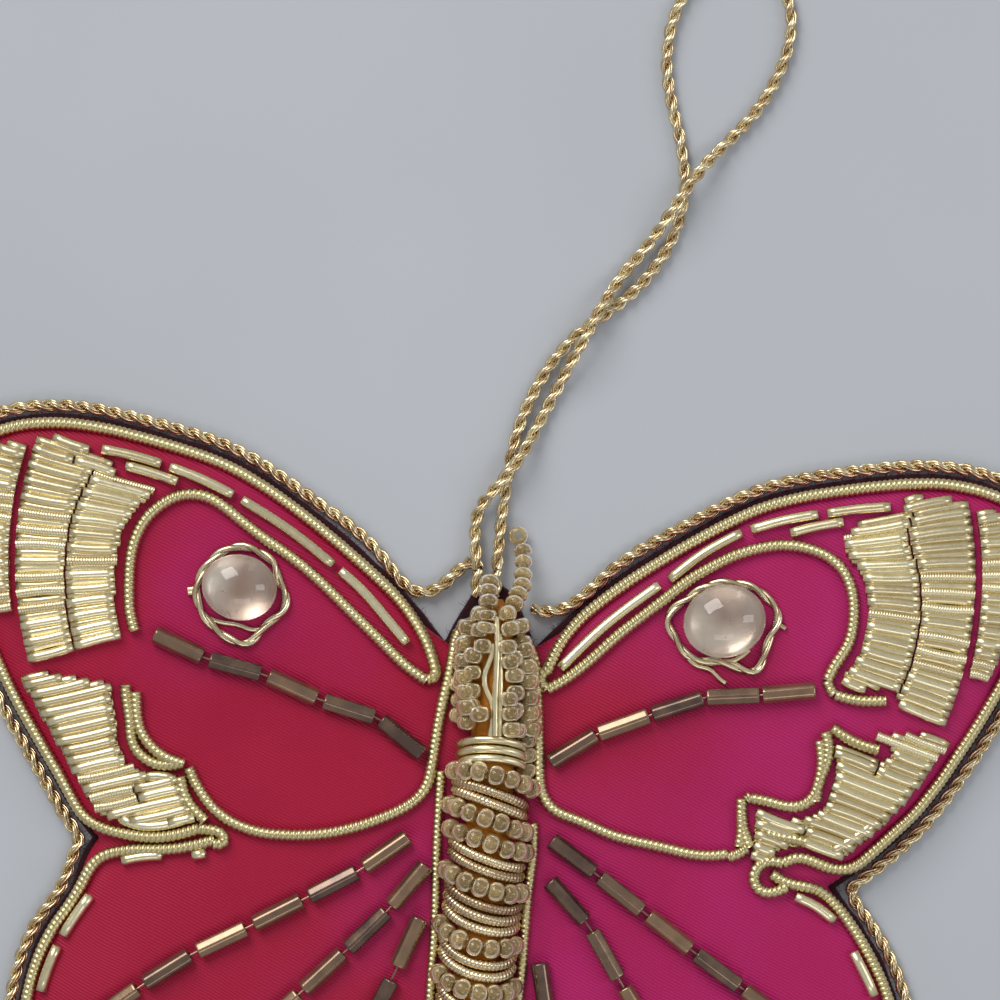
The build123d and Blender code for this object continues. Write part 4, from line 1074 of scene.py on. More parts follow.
# Twisted cord round the whole outline, from the right of the head to the left of it
edgeCord = {
    "diameter": 1.74, "gap": 0.15, "pitch": 4.1, "turn": 0.4, "perTurn": 11, "step": 0.8, "rounds": 3,
    "leftEnd": (-3.1, 24.6),
}
cordHeadShares = {
    1: [(0.072, 0.494), (0.097, 0.484), (0.130, 0.500)],
    -1: [(0.068, 0.602), (0.097, 0.541), (0.135, 0.518), (0.172, 0.555)],
}


def edgeRope():
    radius = edgeCord["diameter"] / 2
    runs = insetRuns(-backing["margin"] - edgeCord["gap"] - radius)
    right = places(1, cordHeadShares[1]) + runs[0][2:]
    left = runs[3][:-2] + places(-1, cordHeadShares[-1])[::-1] + [edgeCord["leftEnd"]]
    lines = [right, runs[1], [runs[1][-1], runs[2][0]], runs[2], left]
    plan = np.concatenate([smoothLine(line, edgeCord["step"])[:-1] for line in lines] + [[left[-1]]])
    path = np.column_stack([plan, np.full(len(plan), radius + lift)])
    batch = Batch()
    addRope(batch, softRounded(path, edgeCord["rounds"]), edgeCord, edgeCord["turn"], edgeCord["perTurn"])
    ornamentPiece(batch, "edge_rope", "cord", "gold_cord", "edge_cord")
    print("edge rope", len(batch.faces))


edgeRope()

# Turns and short lengths that join the coils
extraCoils = {
    "upper_border_coil_right": [
        [(7.6, 12.0), (6.75, 11.6), (6.45, 10.7), (6.75, 9.8), (7.5, 9.5)],
        [
            (38.2, -10.1), (36.4, -9.9), (35.0, -10.9), (34.7, -12.5), (35.6, -13.8), (37.4, -13.9),
            (39.0, -13.1),
        ],
    ],
    "upper_border_coil_left": [
        [(-6.9, 11.0), (-6.35, 10.7), (-6.3, 10.0), (-6.7, 9.6), (-7.5, 9.6)],
        [(-34.5, -10.9), (-32.5, -10.9), (-31.2, -11.6), (-31.3, -12.7), (-32.6, -12.7)],
    ],
    "eye_cell_coil_right": [[(42.2, 13.0), (42.5, 12.1), (43.2, 11.4)]],
    "wing_coil_right": [
        [(42.4, 6.6), (43.0, 4.6), (42.7, 2.2), (41.9, -0.2), (41.9, -2.1)],
        [(32.6, -2.4), (32.7, -4.4), (33.1, -6.4), (34.1, -8.4)],
        [(35.9, -6.4), (37.6, -6.9), (39.3, -7.0), (41.0, -7.3)],
        [(31.5, -9.8), (32.7, -9.4), (33.7, -8.5)], [(33.2, -2.6), (33.8, -2.0)],
    ],
    "wing_coil_left": [
        [(-43.6, 5.6), (-43.4, 3.4), (-42.9, 1.2), (-41.4, -0.9), (-39.2, -2.4), (-37.0, -3.0)],
        [(-36.4, -3.4), (-36.0, -4.3), (-35.4, -5.4)],
        [(-37.4, -4.6), (-36.9, -6.4), (-35.6, -8.4), (-33.9, -9.8)],
    ],
}


def coils():
    total = 0
    for name, lines in coilLines.items():
        small = name.startswith("body_side")
        diameter = coil["sideDiameter"] if small else coil["diameter"]
        batch = Batch()
        for number, line in enumerate(lines + extraCoils.get(name, [])):
            plan = smoothLine(line, coil["step"])
            sway = noiseOver(plan, coil["wanderScale"], coil["wanderLevel"])
            plan = plan + coil["wander"] * np.column_stack([sway, np.roll(sway, coil["wanderShift"])])
            path = softRounded(seated(plan, diameter / 2, coil["sink"]), coil["rounds"])
            tone = coil["toneFrom"] + coil["toneSpread"] * toneOf(number)
            addPurl(batch, path, diameter, coil["pitch"], coil["groove"], tone)
        ornamentPiece(batch, name + "_wire", "coil", "gold_coil", name)
        total += len(batch.faces)
    print("coils", total)


coils()

# Cut tubes: smooth ones, and closely crimped ones among them
cutTube = {
    "diameter": 1.33, "bore": 1.05, "length": 7.0, "gap": 0.26, "sideGap": 0.03, "sink": 0.03,
    "secondRowInset": 2.3, "underSink": 0.5, "sway": 0.16, "swayStep": 2.4, "step": 1.2, "sides": 14,
    "crimpEvery": 7, "crimpFirst": 3, "crimpPitch": 0.34, "crimpGroove": 0.05, "crimpStep": 0.6,
    "marginStep": 0.5, "marginFrom": 0.03, "marginTo": 0.97, "leadingStep": 1.0, "leadingSewnStep": 1.5,
}
tubeRadius, tubeBore = cutTube["diameter"] / 2, cutTube["bore"] / 2
rimClearance = coil["inset"] + (coil["diameter"] + cutTube["diameter"]) / 2 + cutTube["gap"]


# Stretches of a straight line where a tube has room
def freeRuns(start, bearing, reach, isFree):
    step = cutTube["diameter"] / 4
    at = np.arange(0, reach, step)
    free = isFree(np.asarray(start) + at[:, None] * bearingVector(bearing))
    runs, begin = [], None
    for along, room in zip(list(at) + [reach], list(free) + [False]):
        if room and begin is None:
            begin = along
        if not room and begin is not None:
            runs.append((begin, along - step))
            begin = None
    return runs


def addCutTube(batch, ends, number, sink):
    crimped = number % cutTube["crimpEvery"] == cutTube["crimpFirst"]
    line = evenly(ends, cutTube["crimpStep"] if crimped else cutTube["step"])
    bow = cutTube["sway"] * math.sin(number * cutTube["swayStep"])
    bow = bow * np.sin(np.linspace(0, math.pi, len(line)))
    across = np.array([line[0][1] - line[-1][1], line[-1][0] - line[0][0]])
    path = seated(line + bow[:, None] * across / np.linalg.norm(across), tubeRadius, sink)
    if crimped:
        pitch, groove = cutTube["crimpPitch"], cutTube["crimpGroove"]
        addPurl(batch, path, cutTube["diameter"], pitch, groove, toneOf(number))
    else:
        addHollow(batch, path, tubeRadius, tubeBore, cutTube["sides"], toneOf(number))


# Tubes end to end along a straight line, wherever there is room
def cutTubes(batch, start, bearing, reach, isFree, sink):
    direction = bearingVector(bearing)
    for begin, end in freeRuns(start, bearing, reach, isFree):
        count = max(1, round((end - begin) / cutTube["length"]))
        pitch = (end - begin) / count
        if pitch < cutTube["diameter"] * 2:
            continue
        for k in range(count):
            low, high = begin + k * pitch + cutTube["gap"] / 2, begin + (k + 1) * pitch - cutTube["gap"] / 2
            # a number from the tube's place, for its bow, its tone and whether it is crimped
            number = round(abs(start[0]) * 3 + abs(start[1]) * 5) + k
            addCutTube(batch, [start + direction * low, start + direction * high], number, sink)


def clearOf(at, lines):
    needed = (coil["diameter"] + cutTube["diameter"]) / 2 + cutTube["sideGap"]
    return np.min([lineDistance(at, line) for line in lines], axis=0) > needed


# Long tubes between the two coils along the leading edge
leadingTubeShares = {
    1: [
        [(0.130, 0.312), (0.203, 0.454), (0.298, 0.600)],
        [(0.316, 0.620), (0.370, 0.705), (0.440, 0.785)],
        [(0.457, 0.797), (0.515, 0.834), (0.575, 0.861)],
        [(0.592, 0.866), (0.645, 0.886), (0.705, 0.902)],
        [(0.528, 0.795), (0.575, 0.822), (0.622, 0.842)],
    ],
    -1: [
        [(0.150, 0.358), (0.200, 0.450), (0.240, 0.520), (0.280, 0.575)],
        [(0.294, 0.592), (0.338, 0.648), (0.400, 0.717), (0.466, 0.779)],
        [(0.483, 0.793), (0.545, 0.838), (0.600, 0.868)],
        [(0.617, 0.876), (0.665, 0.895), (0.725, 0.910)],
        [(0.585, 0.822), (0.632, 0.845), (0.680, 0.862)],
    ],
}
# Fan of tubes at the outer corner: its centre, where its two rows begin, its first and last bearing
fanCentreShare = (0.174, 0.615)
fanReachShare = (0.46, 0.70)
fanBearings = (-18.5, 19.0)


# Every other tube lies lower, under its neighbours
def cornerFan(side, name):
    centre = np.array(place(side, fanCentreShare))
    lines = sewn["eye_cell_coil_" + name] + sewn["upper_border_coil_" + name]
    step = cutTube["leadingSewnStep"]
    lines = lines + [smoothLine(places(side, shares), step) for shares in leadingTubeShares[side]]
    inner, outer = (share * wings["halfSpan"] for share in fanReachShare)

    def hasRoom(at):
        return (edgeDepth(at) > rimClearance) & clearOf(at, lines)

    batch = Batch()
    for near, far in ((inner, outer), (outer + cutTube["gap"], wings["halfSpan"])):
        pitch = math.degrees((cutTube["diameter"] + cutTube["sideGap"]) / near)
        for k in range(2 * int((fanBearings[1] - fanBearings[0]) / pitch) + 2):
            bearing = fanBearings[0] + k / 2 * pitch
            start = centre + bearingVector(bearing) * near * np.array([side, 1])
            turned = bearing if side > 0 else 180 - bearing
            cutTubes(batch, start, turned, far - near, hasRoom, k % 2 * cutTube["underSink"])
    return batch


# Rows of tubes in the stepped patch, below the fan
fanPatchGap = 0.1
patchRowBearing = -17.0
patchCornerShares = {
    1: [
        (0.490, -0.165), (0.490, -0.055), (0.610, -0.055), (0.625, 0.160), (0.92, 0.200), (0.76, -0.170),
    ],
    -1: [
        (0.495, -0.165), (0.545, -0.070), (0.640, -0.055), (0.655, 0.160), (0.92, 0.200), (0.78, -0.170),
    ],
}


def patchRows(side, name):
    corners = np.array(places(side, patchCornerShares[side]))
    kinds = ("wing_coil_", "eye_cell_coil_", "upper_border_coil_")
    lines = [line for kind in kinds for line in sewn[kind + name]]
    direction = bearingVector(patchRowBearing)
    across, height = corners[4] - corners[0]
    height -= across * side * direction[1] / direction[0]
    pitch = cutTube["diameter"] + cutTube["sideGap"]
    fan = np.array(place(side, fanCentreShare))
    fanX, fanY = bearingVector(fanBearings[0])

    def hasRoom(at):
        underFan = side * (at[:, 0] - fan[0]) * fanY - (at[:, 1] - fan[1]) * fanX
        inPatch = insideRing(at, corners) & (edgeDepth(at) > rimClearance)
        return inPatch & clearOf(at, lines) & (underFan > cutTube["diameter"] + fanPatchGap)

    batch = Batch()
    for k in range(2 * int(height / pitch) + 2):
        start = corners[0] + np.array([0, k / 2 * pitch])
        turned = patchRowBearing if side > 0 else 180 - patchRowBearing
        cutTubes(batch, start, turned, wings["halfSpan"] / 2, hasRoom, k % 2 * cutTube["underSink"])
    return batch


# Row of tubes inside the lower wing's border; each leaves a little of its stretch free at both ends
def marginTubes(side):
    line = smoothLine(lowerBorderLine(side, cutTube["secondRowInset"])[2:], cutTube["marginStep"])
    count = int(runLength(line) / (cutTube["length"] + cutTube["gap"]))
    batch = Batch()
    for k in range(count):
        low = int(len(line) * (k + cutTube["marginFrom"]) / count)
        high = int(len(line) * (k + cutTube["marginTo"]) / count)
        path = seated(line[low:high:3], tubeRadius, cutTube["sink"])
        addHollow(batch, path, tubeRadius, tubeBore, wireSides, toneOf(k))
    return batch


# Single tubes in the gaps round the patch
strayTubes = {
    1: [
        [(40.2, -14.2), (42.7, -15.2), (45.2, -16.9)], [(44.3, -8.3), (46.8, -6.6), (49.2, -4.6)],
        [(35.6, -4.6), (38.0, -5.4), (40.4, -5.7)],
    ],
    -1: [
        [(-44.4, -10.4), (-42.4, -11.0), (-39.6, -10.9), (-37.2, -10.2), (-35.4, -9.4)],
        [(-44.0, -15.6), (-41.4, -14.9), (-39.0, -14.6)], [(-35.2, -14.3), (-33.6, -13.9)],
        [(-41.8, -4.9), (-39.9, -4.7), (-38.2, -4.9)],
    ],
}


def leadingTubes(side):
    batch = Batch()
    lines = [places(side, shares) for shares in leadingTubeShares[side]] + strayTubes[side]
    for number, line in enumerate(lines):
        path = seated(smoothLine(line, cutTube["leadingStep"]), tubeRadius, cutTube["sink"])
        addHollow(batch, path, tubeRadius, tubeBore, wireSides, toneOf(number))
    return batch


for side, name in wingSides:
    for kind, batch in (
        ("corner_tubes_", cornerFan(side, name)), ("patch_tubes_", patchRows(side, name)),
        ("margin_tubes_", marginTubes(side)), ("leading_edge_tubes_", leadingTubes(side)),
    ):
        ornamentPiece(batch, kind + name + "_gold", "tube", "gold_tube", kind + name)
        print(kind + name, len(batch.faces))

# Ends of a bugle: along and out, as shares of half its length and of its radius
bugleEndShares = [(0.9, 1.0), (0.95, 1.0), (0.985, 0.96), (1.0, 0.86)]


def bugleProfile(halfLength):
    radius = bugle["diameter"] / 2
    outer = [(-along, wide) for along, wide in bugleEndShares[::-1]] + bugleEndShares
    outer = [(along * halfLength, radius * wide) for along, wide in outer]
    return [(-halfLength, bugle["bore"] / 2)] + outer + [(halfLength, bugle["bore"] / 2)]


# Six-sided beads on one thread; a bead on a swell of the satin is lifted clear of it
def bugles():
    radius = bugle["diameter"] / 2
    for name, points in rayLines.items():
        line = smoothLine(points, bugle["strungStep"])
        count = max(1, int(runLength(line) / (bugle["length"] + bugle["gap"])))
        batch = Batch()
        strung = []
        for k in range(count):
            near, far = (line[round((len(line) - 1) * (k + j) / count)] for j in (0, 1))
            middle = (near + far) / 2
            reach = (far - near) / np.linalg.norm(far - near) * bugle["length"] / 2
            spots = seated(np.array([middle - reach, middle, middle + reach]), radius, bugle["sink"])
            spots[0, 2] += max(0.0, spots[1, 2] - (spots[0, 2] + spots[2, 2]) / 2)
            spots[2, 2] += max(0.0, spots[1, 2] - (spots[0, 2] + spots[2, 2]) / 2)
            half = (spots[2] - spots[0]) / 2
            twist = math.pi / bugle["facets"] * (k % 2)
            addLathe(
                batch, (spots[0] + spots[2]) / 2, half, bugleProfile(np.linalg.norm(half)), bugle["sides"],
                toneOf(k + len(name)), twist, bugle["facets"], bugle["facetShare"],
            )
            strung.extend(spots)
        addTube(batch, np.array(strung), bugle["thread"] / 2, bugle["threadSides"], bugle["threadTone"])
        ornamentPiece(batch, name + "_glass", "bugle", "bugle_glass", name)
    print("bugles done")


bugles()

# Pebbles over foil, each in a wreath of bent wire
pebble = {
    "length": 9.6, "width": 8.4, "height": 4.8, "places": 48, "rimPlaces": 18, "tone": 0.3,
    "ripple": 0.06, "rippleLevel": 1.5, "wire": 1.1, "wirePitch": 6.5, "wireTurn": 0.4, "wireStep": 0.3,
    "wirePlaces": 12, "wireGapShare": 0.94, "wireRounds": 3, "strand": 0.4, "strandLap": 0.06,
    "strandSides": 8, "strandTones": (0.2, 0.7), "tailStep": 0.25, "tailShare": 0.8,
}
pebblePlaceShares = {1: (0.419, 0.500), -1: (0.458, 0.500)}
pebbleScale = {1: 1.08, -1: 0.98}
pebbleBearing = {1: 17.0, -1: 8.0}
# Up and out, as shares of the pebble's height and half width
domeShares = [
    (0.0, 0.80), (0.05, 0.87), (0.13, 0.94), (0.24, 0.985), (0.34, 1.0), (0.46, 0.985), (0.58, 0.93),
    (0.69, 0.85), (0.79, 0.745), (0.87, 0.62), (0.93, 0.48), (0.97, 0.33), (0.993, 0.16),
]
# Out, as a share of the pebble's half width, and height above its foot; then the middle's top and underside
foilRings = [(0.74, 0.12), (0.86, 0.3), (0.86, 0.34), (0.6, 0.3), (0.3, 0.26)]
foilMiddle = (0.24, 0.1)
# Places of the wire from the middle of each pebble, and its short loose ends
wreathPlaces = {
    1: [
        (2.0, 4.7), (-0.9, 4.6), (-3.1, 3.8), (-5.0, 2.2), (-6.7, 0.7), (-7.0, -0.8), (-6.0, -2.4),
        (-4.8, -4.1), (-3.4, -5.0), (-1.4, -5.1), (0.6, -5.2), (2.7, -5.9), (4.3, -6.0), (5.1, -4.8),
        (5.5, -2.9), (5.9, -1.5), (6.7, 0.5), (6.4, 2.0), (5.2, 3.2), (4.0, 4.2),
    ],
    -1: [
        (-0.3, 5.1), (-2.3, 4.4), (-4.0, 2.9), (-5.0, 1.2), (-5.4, -0.8), (-4.9, -2.8), (-3.8, -4.4),
        (-2.3, -5.7), (-0.5, -6.7), (1.2, -7.0), (2.6, -5.9), (3.7, -4.3), (5.3, -3.0), (5.9, -1.4),
        (5.5, 0.1), (4.6, 1.3), (4.3, 2.8), (3.1, 4.0), (1.5, 4.8),
    ],
}
wreathTails = {
    1: [
        [(-4.6, -4.4), (-3.0, -5.8), (-1.3, -6.2), (-0.2, -7.1), (0.7, -7.7)],
        [(6.6, 0.4), (7.3, -0.2), (7.7, -0.4)], [(3.4, -3.4), (1.6, -4.8), (-0.6, -5.0)],
    ],
    -1: [
        [(-5.2, -0.3), (-5.9, -0.6), (-6.5, -0.7)], [(-5.2, -0.8), (-5.8, -1.1), (-6.4, -1.2)],
        [(-4.2, -3.9), (-2.2, -4.5), (0.4, -4.8), (2.0, -5.2), (3.0, -5.0)],
    ],
}


# Where one pebble lies: its middle, its half sizes, its turn and the height of its foot
class Eye:
    def __init__(self, side):
        self.at = place(side, pebblePlaceShares[side])
        turn = side * math.radians(pebbleBearing[side])
        self.axes = np.array([[math.cos(turn), math.sin(turn)], [-math.sin(turn), math.cos(turn)]])
        self.half = [pebble[size] / 2 * pebbleScale[side] for size in ("length", "width")]
        bearings = [360 / pebble["rimPlaces"] * k for k in range(pebble["rimPlaces"])]
        rim = [np.array(self.at) + bearingVector(bearing) * self.half[1] for bearing in bearings]
        self.foot = float(np.max(padHeight(np.array(rim + [np.array(self.at)])))) + lift

    def ring(self, share):
        turn = turnsOf(pebble["places"])
        flat = np.column_stack([self.half[0] * share * np.cos(turn), self.half[1] * share * np.sin(turn)])
        return flat @ self.axes + self.at


# Faces of stacked rings that close on two middle points: one past the last ring, one before the first
def domeFaces(rings):
    sides = pebble["places"]
    faces = tubeFaces(rings, sides) + fanFaces((rings - 1) * sides, sides, rings * sides)
    return faces + fanFaces(0, sides, rings * sides + 1, before=True)


def addPebble(eye, name):
    points = []
    for up, wide in domeShares:
        points.extend((*spot, eye.foot + pebble["height"] * up) for spot in eye.ring(wide))
    points += [(*eye.at, eye.foot + pebble["height"]), (*eye.at, eye.foot)]
    batch = Batch()
    batch.add(points, domeFaces(len(domeShares)), pebble["tone"])
    ornamentPiece(batch, "eye_pebble_" + name + "_glass", "pebble", "pebble_glass", "eye_pebble_" + name)


def addFoil(eye, name):
    points = []
    for wide, up in foilRings:
        spots = eye.ring(wide)
        ripples = [pebble["ripple"] * noise.noise(Vector((*spot, pebble["rippleLevel"]))) for spot in spots]
        points.extend((*spot, eye.foot + up + r) for spot, r in zip(spots, ripples))
    points += [(*eye.at, eye.foot + up) for up in foilMiddle]
    batch = Batch()
    batch.add(points, domeFaces(len(foilRings)))
    ornamentPiece(batch, "eye_foil_" + name, "foil", "gold_coil")


# Two strands wound together; the wire keeps clear of the pebble where its places come too close
def addWreath(eye, side, name):
    radius = pebble["wire"] / 2
    path = smoothLine(wreathPlaces[side] + wreathPlaces[side][:3], pebble["wireStep"])[:, :2]
    across = path @ eye.axes.T / eye.half
    needed = pebble["wireGapShare"] + radius / ((eye.half[0] + eye.half[1]) / 2)
    short = np.maximum(1.0, needed / np.linalg.norm(across, axis=1))
    path = softRounded(seated(path * short[:, None] + eye.at, radius), pebble["wireRounds"])
    apart = radius - pebble["strand"] + pebble["strandLap"]
    batch = Batch()
    for k, tone in enumerate(pebble["strandTones"]):
        turn = pebble["wireTurn"] + math.pi * k
        strand = helix(path, apart, pebble["wirePitch"], turn, pebble["wirePlaces"])
        addTube(batch, strand, pebble["strand"], pebble["strandSides"], tone)
    x, y = eye.at
    for number, tail in enumerate(wreathTails[side]):
        line = smoothLine([(x + a, y + b) for a, b in tail], pebble["tailStep"])
        spots = seated(line[:, :2], pebble["strand"])
        addTube(batch, spots, pebble["strand"] * pebble["tailShare"], pebble["strandSides"], toneOf(number))
    ornamentPiece(batch, "eye_bezel_" + name + "_wire", "band", "gold_coil", "eye_bezel_" + name)


for side, name in wingSides:
    eye = Eye(side)
    addPebble(eye, name)
    addFoil(eye, name)
    addWreath(eye, side, name)
print("eyes done")

# Felt padding, a little uneven; its end rings are drawn in
padding = {
    "step": 1.2, "rings": 8, "archPlaces": 19, "endInset": 0.35, "dent": 0.12, "dentBearing": 20,
    "dentLength": 1.5, "dentLevel": 2.2,
}


# Place above the padding: bearing from straight up, height above its surface
def onBody(y, bearing, above):
    middle, radius = bodyStation(y)
    turn = math.radians(bearing)
    reach = float(radius) + above
    return np.array([float(middle) + reach * math.sin(turn), y, body["level"] + reach * math.cos(turn)])


def feltPadding(top, bottom, name):
    ys = np.linspace(top, bottom, max(padding["rings"], int((top - bottom) / padding["step"])))
    bearings = np.linspace(-90, 90, padding["archPlaces"])
    foot = backing["thickness"] + lift
    points = []
    for i, y in enumerate(ys):
        shrink = padding["endInset"] if i in (0, len(ys) - 1) else 0.0
        middle, radius = bodyStation(y)
        points.append((float(middle) - float(radius) + shrink, y, foot))
        for b in bearings:
            where = Vector((b / padding["dentBearing"], y / padding["dentLength"], padding["dentLevel"]))
            points.append(onBody(y, b, -shrink + padding["dent"] * noise.noise(where)))
        points.append((float(middle) + float(radius) - shrink, y, foot))
    sides = len(bearings) + 2
    faces = [(a, d, c, b) for a, b, c, d in tubeFaces(len(ys), sides)]
    faces.append(tuple(range(sides)))
    faces.append(tuple(range((len(ys) - 1) * sides, len(ys) * sides))[::-1])
    batch = Batch()
    batch.add(points, faces)
    ornamentPiece(batch, name + "_felt", "felt", "felt", name)


feltPadding(body["top"], body["waist"], "thorax_padding")
feltPadding(body["waist"] - lift, body["top"] - body["length"], "abdomen_padding")

# Seed beads, each a little off its neighbours' line and size
beadChance = {
    "from": 40, "least": 0.93, "most": 1.04, "offset": 0.06, "lean": 0.16,
    "columnStep": 3, "looseFrom": 100, "looseStep": 7, "rowStep": 11, "antennaFrom": 7, "antennaStep": 5,
}


# Round bead with a straight hole: the hole's wall, then the outside and back
def beadProfile(length):
    turn = np.linspace(0, math.pi, seed["profilePlaces"])[:-1]
    out = seed["bore"] / 2 + (seed["diameter"] - seed["bore"]) / 2 * np.sin(turn) ** seed["roundPower"]
    return [(-length / 2, seed["bore"] / 2)] + list(zip(length / 2 * np.cos(turn), out))


longBead = beadProfile(seed["length"])
shortBead = beadProfile(seed["shortLength"])


def addBead(batch, near, far, profile, number):
    chance = np.random.default_rng(number + beadChance["from"])
    size = chance.uniform(beadChance["least"], beadChance["most"])
    centre = (np.asarray(near) + far) / 2 + chance.normal(0, beadChance["offset"], 3)
    direction = (np.asarray(far) - near) + chance.normal(0, beadChance["lean"], 3)
    profile = [(along * size, out * size) for along, out in profile]
    addLathe(batch, centre, direction, profile, seed["sides"], toneOf(number))


# Thorax: sewn columns by bearing and start, then loose strings by bearing, upper end, beads and rise
thoraxColumns = {"left": ((-80.0, 0.075), (-45.0, 0.085)), "right": ((36.0, 0.085), (70.0, 0.075))}
looseDrift = 4  # degrees round the body from one loose bead to the next
looseBeads = {
    "left": [
        (-62, 15.4, 5, 0.7), (-36, 19.2, 2, 0.0), (-76, 17.6, 2, 0.0), (-26, 7.0, 1, 0.1),
        (-98, 10.2, 3, 0.3), (-24, 15.3, 1, 0.0), (-52, 5.8, 1, 0.1),
    ],
    "right": [
        (52, 15.2, 6, 0.75), (28, 19.6, 2, 0.0), (64, 18.0, 2, 0.0), (24, 9.2, 3, 0.2),
        (94, 13.0, 5, 0.1), (24, 15.6, 2, 0.1), (45, 5.2, 1, 0.0), (74, 6.0, 4, 0.0),
    ],
}


def thoraxColumn(batch, bearing, startShare, number):
    pitch = seed["length"] + seed["gap"]
    top = body["top"] - startShare * body["length"]
    bottom = body["waist"] + body["waistBow"] + body["band"]
    for k in range(int((top - bottom) / pitch)):
        spots = [onBody(top - (k + j) * pitch, bearing, seed["diameter"] / 2 + lift) for j in (0, 1)]
        addBead(batch, *spots, longBead, k * beadChance["columnStep"] + number)


def thoraxBeads():
    for half, (name, columns) in enumerate(thoraxColumns.items()):
        batch = Batch()
        for number, (bearing, startShare) in enumerate(columns, start=2 * half):
            thoraxColumn(batch, bearing, startShare, number)
        for bearing, top, count, rise in looseBeads[name]:
            above = seed["diameter"] / 2 + lift + rise
            number = round(bearing) + beadChance["looseFrom"]
            for k in range(count):
                turned = bearing + looseDrift * k
                spots = [onBody(top - (k + j) * seed["length"], turned, above) for j in (0, 1)]
                addBead(batch, *spots, longBead, number + k * beadChance["looseStep"])
        ornamentPiece(batch, "thorax_beads_" + name + "_glass", "seed", "bead_glass", "thorax_beads_" + name)


thoraxBeads()

# Abdomen: rows across it, from the waist to the tail
abdomenRows = (
    "bead coil coil bead bead coil coil bead coil coil coil bead coil coil bead "
    "coil coil coil bead coil coil bead coil coil"
).split()
bandCoil = {"widthShare": 1.12, "pitch": 0.5, "groove": 0.1, "places": 25, "sides": 14, "perTurn": 7}
# How far each row hangs and leans by its number from the waist
rowHangs = [(0, -1.2), (2, -0.3), (6, 0.8), (12, 2.0)]
rowLeans = [(0, 0.8), (1, 1.2), (3, 1.5), (6, 1.3), (12, 0.8)]


# Place on the body with its distance from the body's middle spread
def spreadOnBody(y, bearing, above):
    spot = onBody(y, bearing, above)
    middle = float(bodyStation(y)[0])
    return middle + (spot[0] - middle) * body["rowSpread"], spot[2]


def rowPlace(y, bearing, above, index):
    turn = math.radians(bearing)
    hang = float(np.interp(index, *zip(*rowHangs)))
    bend = hang * (1 - math.cos(turn)) - float(np.interp(index, *zip(*rowLeans))) * math.sin(turn)
    across, height = spreadOnBody(y, bearing, above)
    return np.array([across, y + bend, height])


def beadRow(batch, at, above, index):
    reach = (float(bodyStation(at)[1]) + above) * body["rowSpread"]
    pitch = math.degrees((seed["length"] + seed["gap"]) / reach)
    count = 2 * int(body["bandBearing"] / pitch) + 1
    for k in range(count):
        bearing = (k - (count - 1) / 2 + body["rowStagger"] * (-1) ** index) * pitch
        near, far = (rowPlace(at, bearing + turn, above, index) for turn in (-pitch / 2, pitch / 2))
        addBead(batch, near, far, longBead, index * beadChance["rowStep"] + k)


def coilRow(batch, at, above, index):
    bearings = np.linspace(-body["bandBearing"], body["bandBearing"], bandCoil["places"])
    path = [rowPlace(at, b, above, index) for b in bearings]
    addPurl(
        batch, path, body["band"] * bandCoil["widthShare"], bandCoil["pitch"], bandCoil["groove"],
        toneOf(index), bandCoil["sides"], bandCoil["perTurn"],
    )


def abdomen():
    beads, bands = Batch(), Batch()
    y = body["waist"] + body["waistLift"] - body["waistWire"]
    for index, kind in enumerate(abdomenRows):
        size = seed["diameter"] if kind == "bead" else body["band"]
        if y - size < body["top"] - body["length"]:
            break
        if kind == "bead":
            beadRow(beads, y - size / 2, size / 2 + lift, index)
        else:
            coilRow(bands, y - size / 2, size / 2 + lift, index)
        y -= size + body["rowGap"]
    ornamentPiece(beads, "abdomen_beads_glass", "seed", "bead_glass", "abdomen_beads")
    ornamentPiece(bands, "abdomen_bands_wire", "bronze", "gold_coil", "abdomen_bands")


abdomen()

# Waist: smooth wires side by side, cut short on the right
waist = {
    "wires": 3, "first": -0.35, "gap": 0.12, "rightShare": 0.72, "places": 25, "toneFrom": 0.15,
    "toneStep": 0.25,
}
thoraxTone = 0.1  # tone of the lowest wires down the thorax
# Wires down the thorax: rise, then places as shares of the way down and of the body's radius across
thoraxWirePaths = [
    (0.0, [(0.12, 0.18), (0.5, 0.18), (1.1, 0.2)]),
    (0.0, [(0.22, -0.06), (0.36, -0.18), (0.5, -0.38), (0.62, -0.38), (0.76, -0.14), (1.12, -0.12)]),
    (0.45, [(-0.04, 0.05), (0.3, 0.07), (0.6, 0.02), (1.1, 0.05)]),
]


def waistBands():
    batch = Batch()
    bearings = np.linspace(-body["bandBearing"], body["bandBearing"] * waist["rightShare"], waist["places"])
    for k in range(waist["wires"]):
        y = body["waist"] + body["waistLift"] + (k + waist["first"]) * (body["waistWire"] + waist["gap"])
        path = []
        for bearing in bearings:
            across, height = spreadOnBody(y, bearing, body["waistWire"] / 2 + lift)
            path.append((across, y - body["waistBow"] * (1 - math.cos(math.radians(bearing))), height))
        addTube(batch, path, body["waistWire"] / 2, wireSides, waist["toneFrom"] + waist["toneStep"] * k)
    ornamentPiece(batch, "waist_bands_wire", "tube", "gold_coil", "waist_bands")


def thoraxWires():
    batch = Batch()
    top = body["top"] - seed["diameter"] - seed["gap"]
    length = top - (body["waist"] + 2 * (body["band"] + body["rowGap"]))
    for rise, shares in thoraxWirePaths:
        above = body["wire"] / 2 + lift + rise
        bearings = [math.degrees(math.asin(across)) for _, across in shares]
        points = [onBody(top - length * down, b, above) for (down, _), b in zip(shares, bearings)]
        path = smoothLine(points, body["wireStep"])
        addTube(batch, path, body["wire"] / 2, wireSides, thoraxTone + rise)
    ornamentPiece(batch, "thorax_wires_gold", "tube", "gold_tube", "thorax_wires")


waistBands()
thoraxWires()

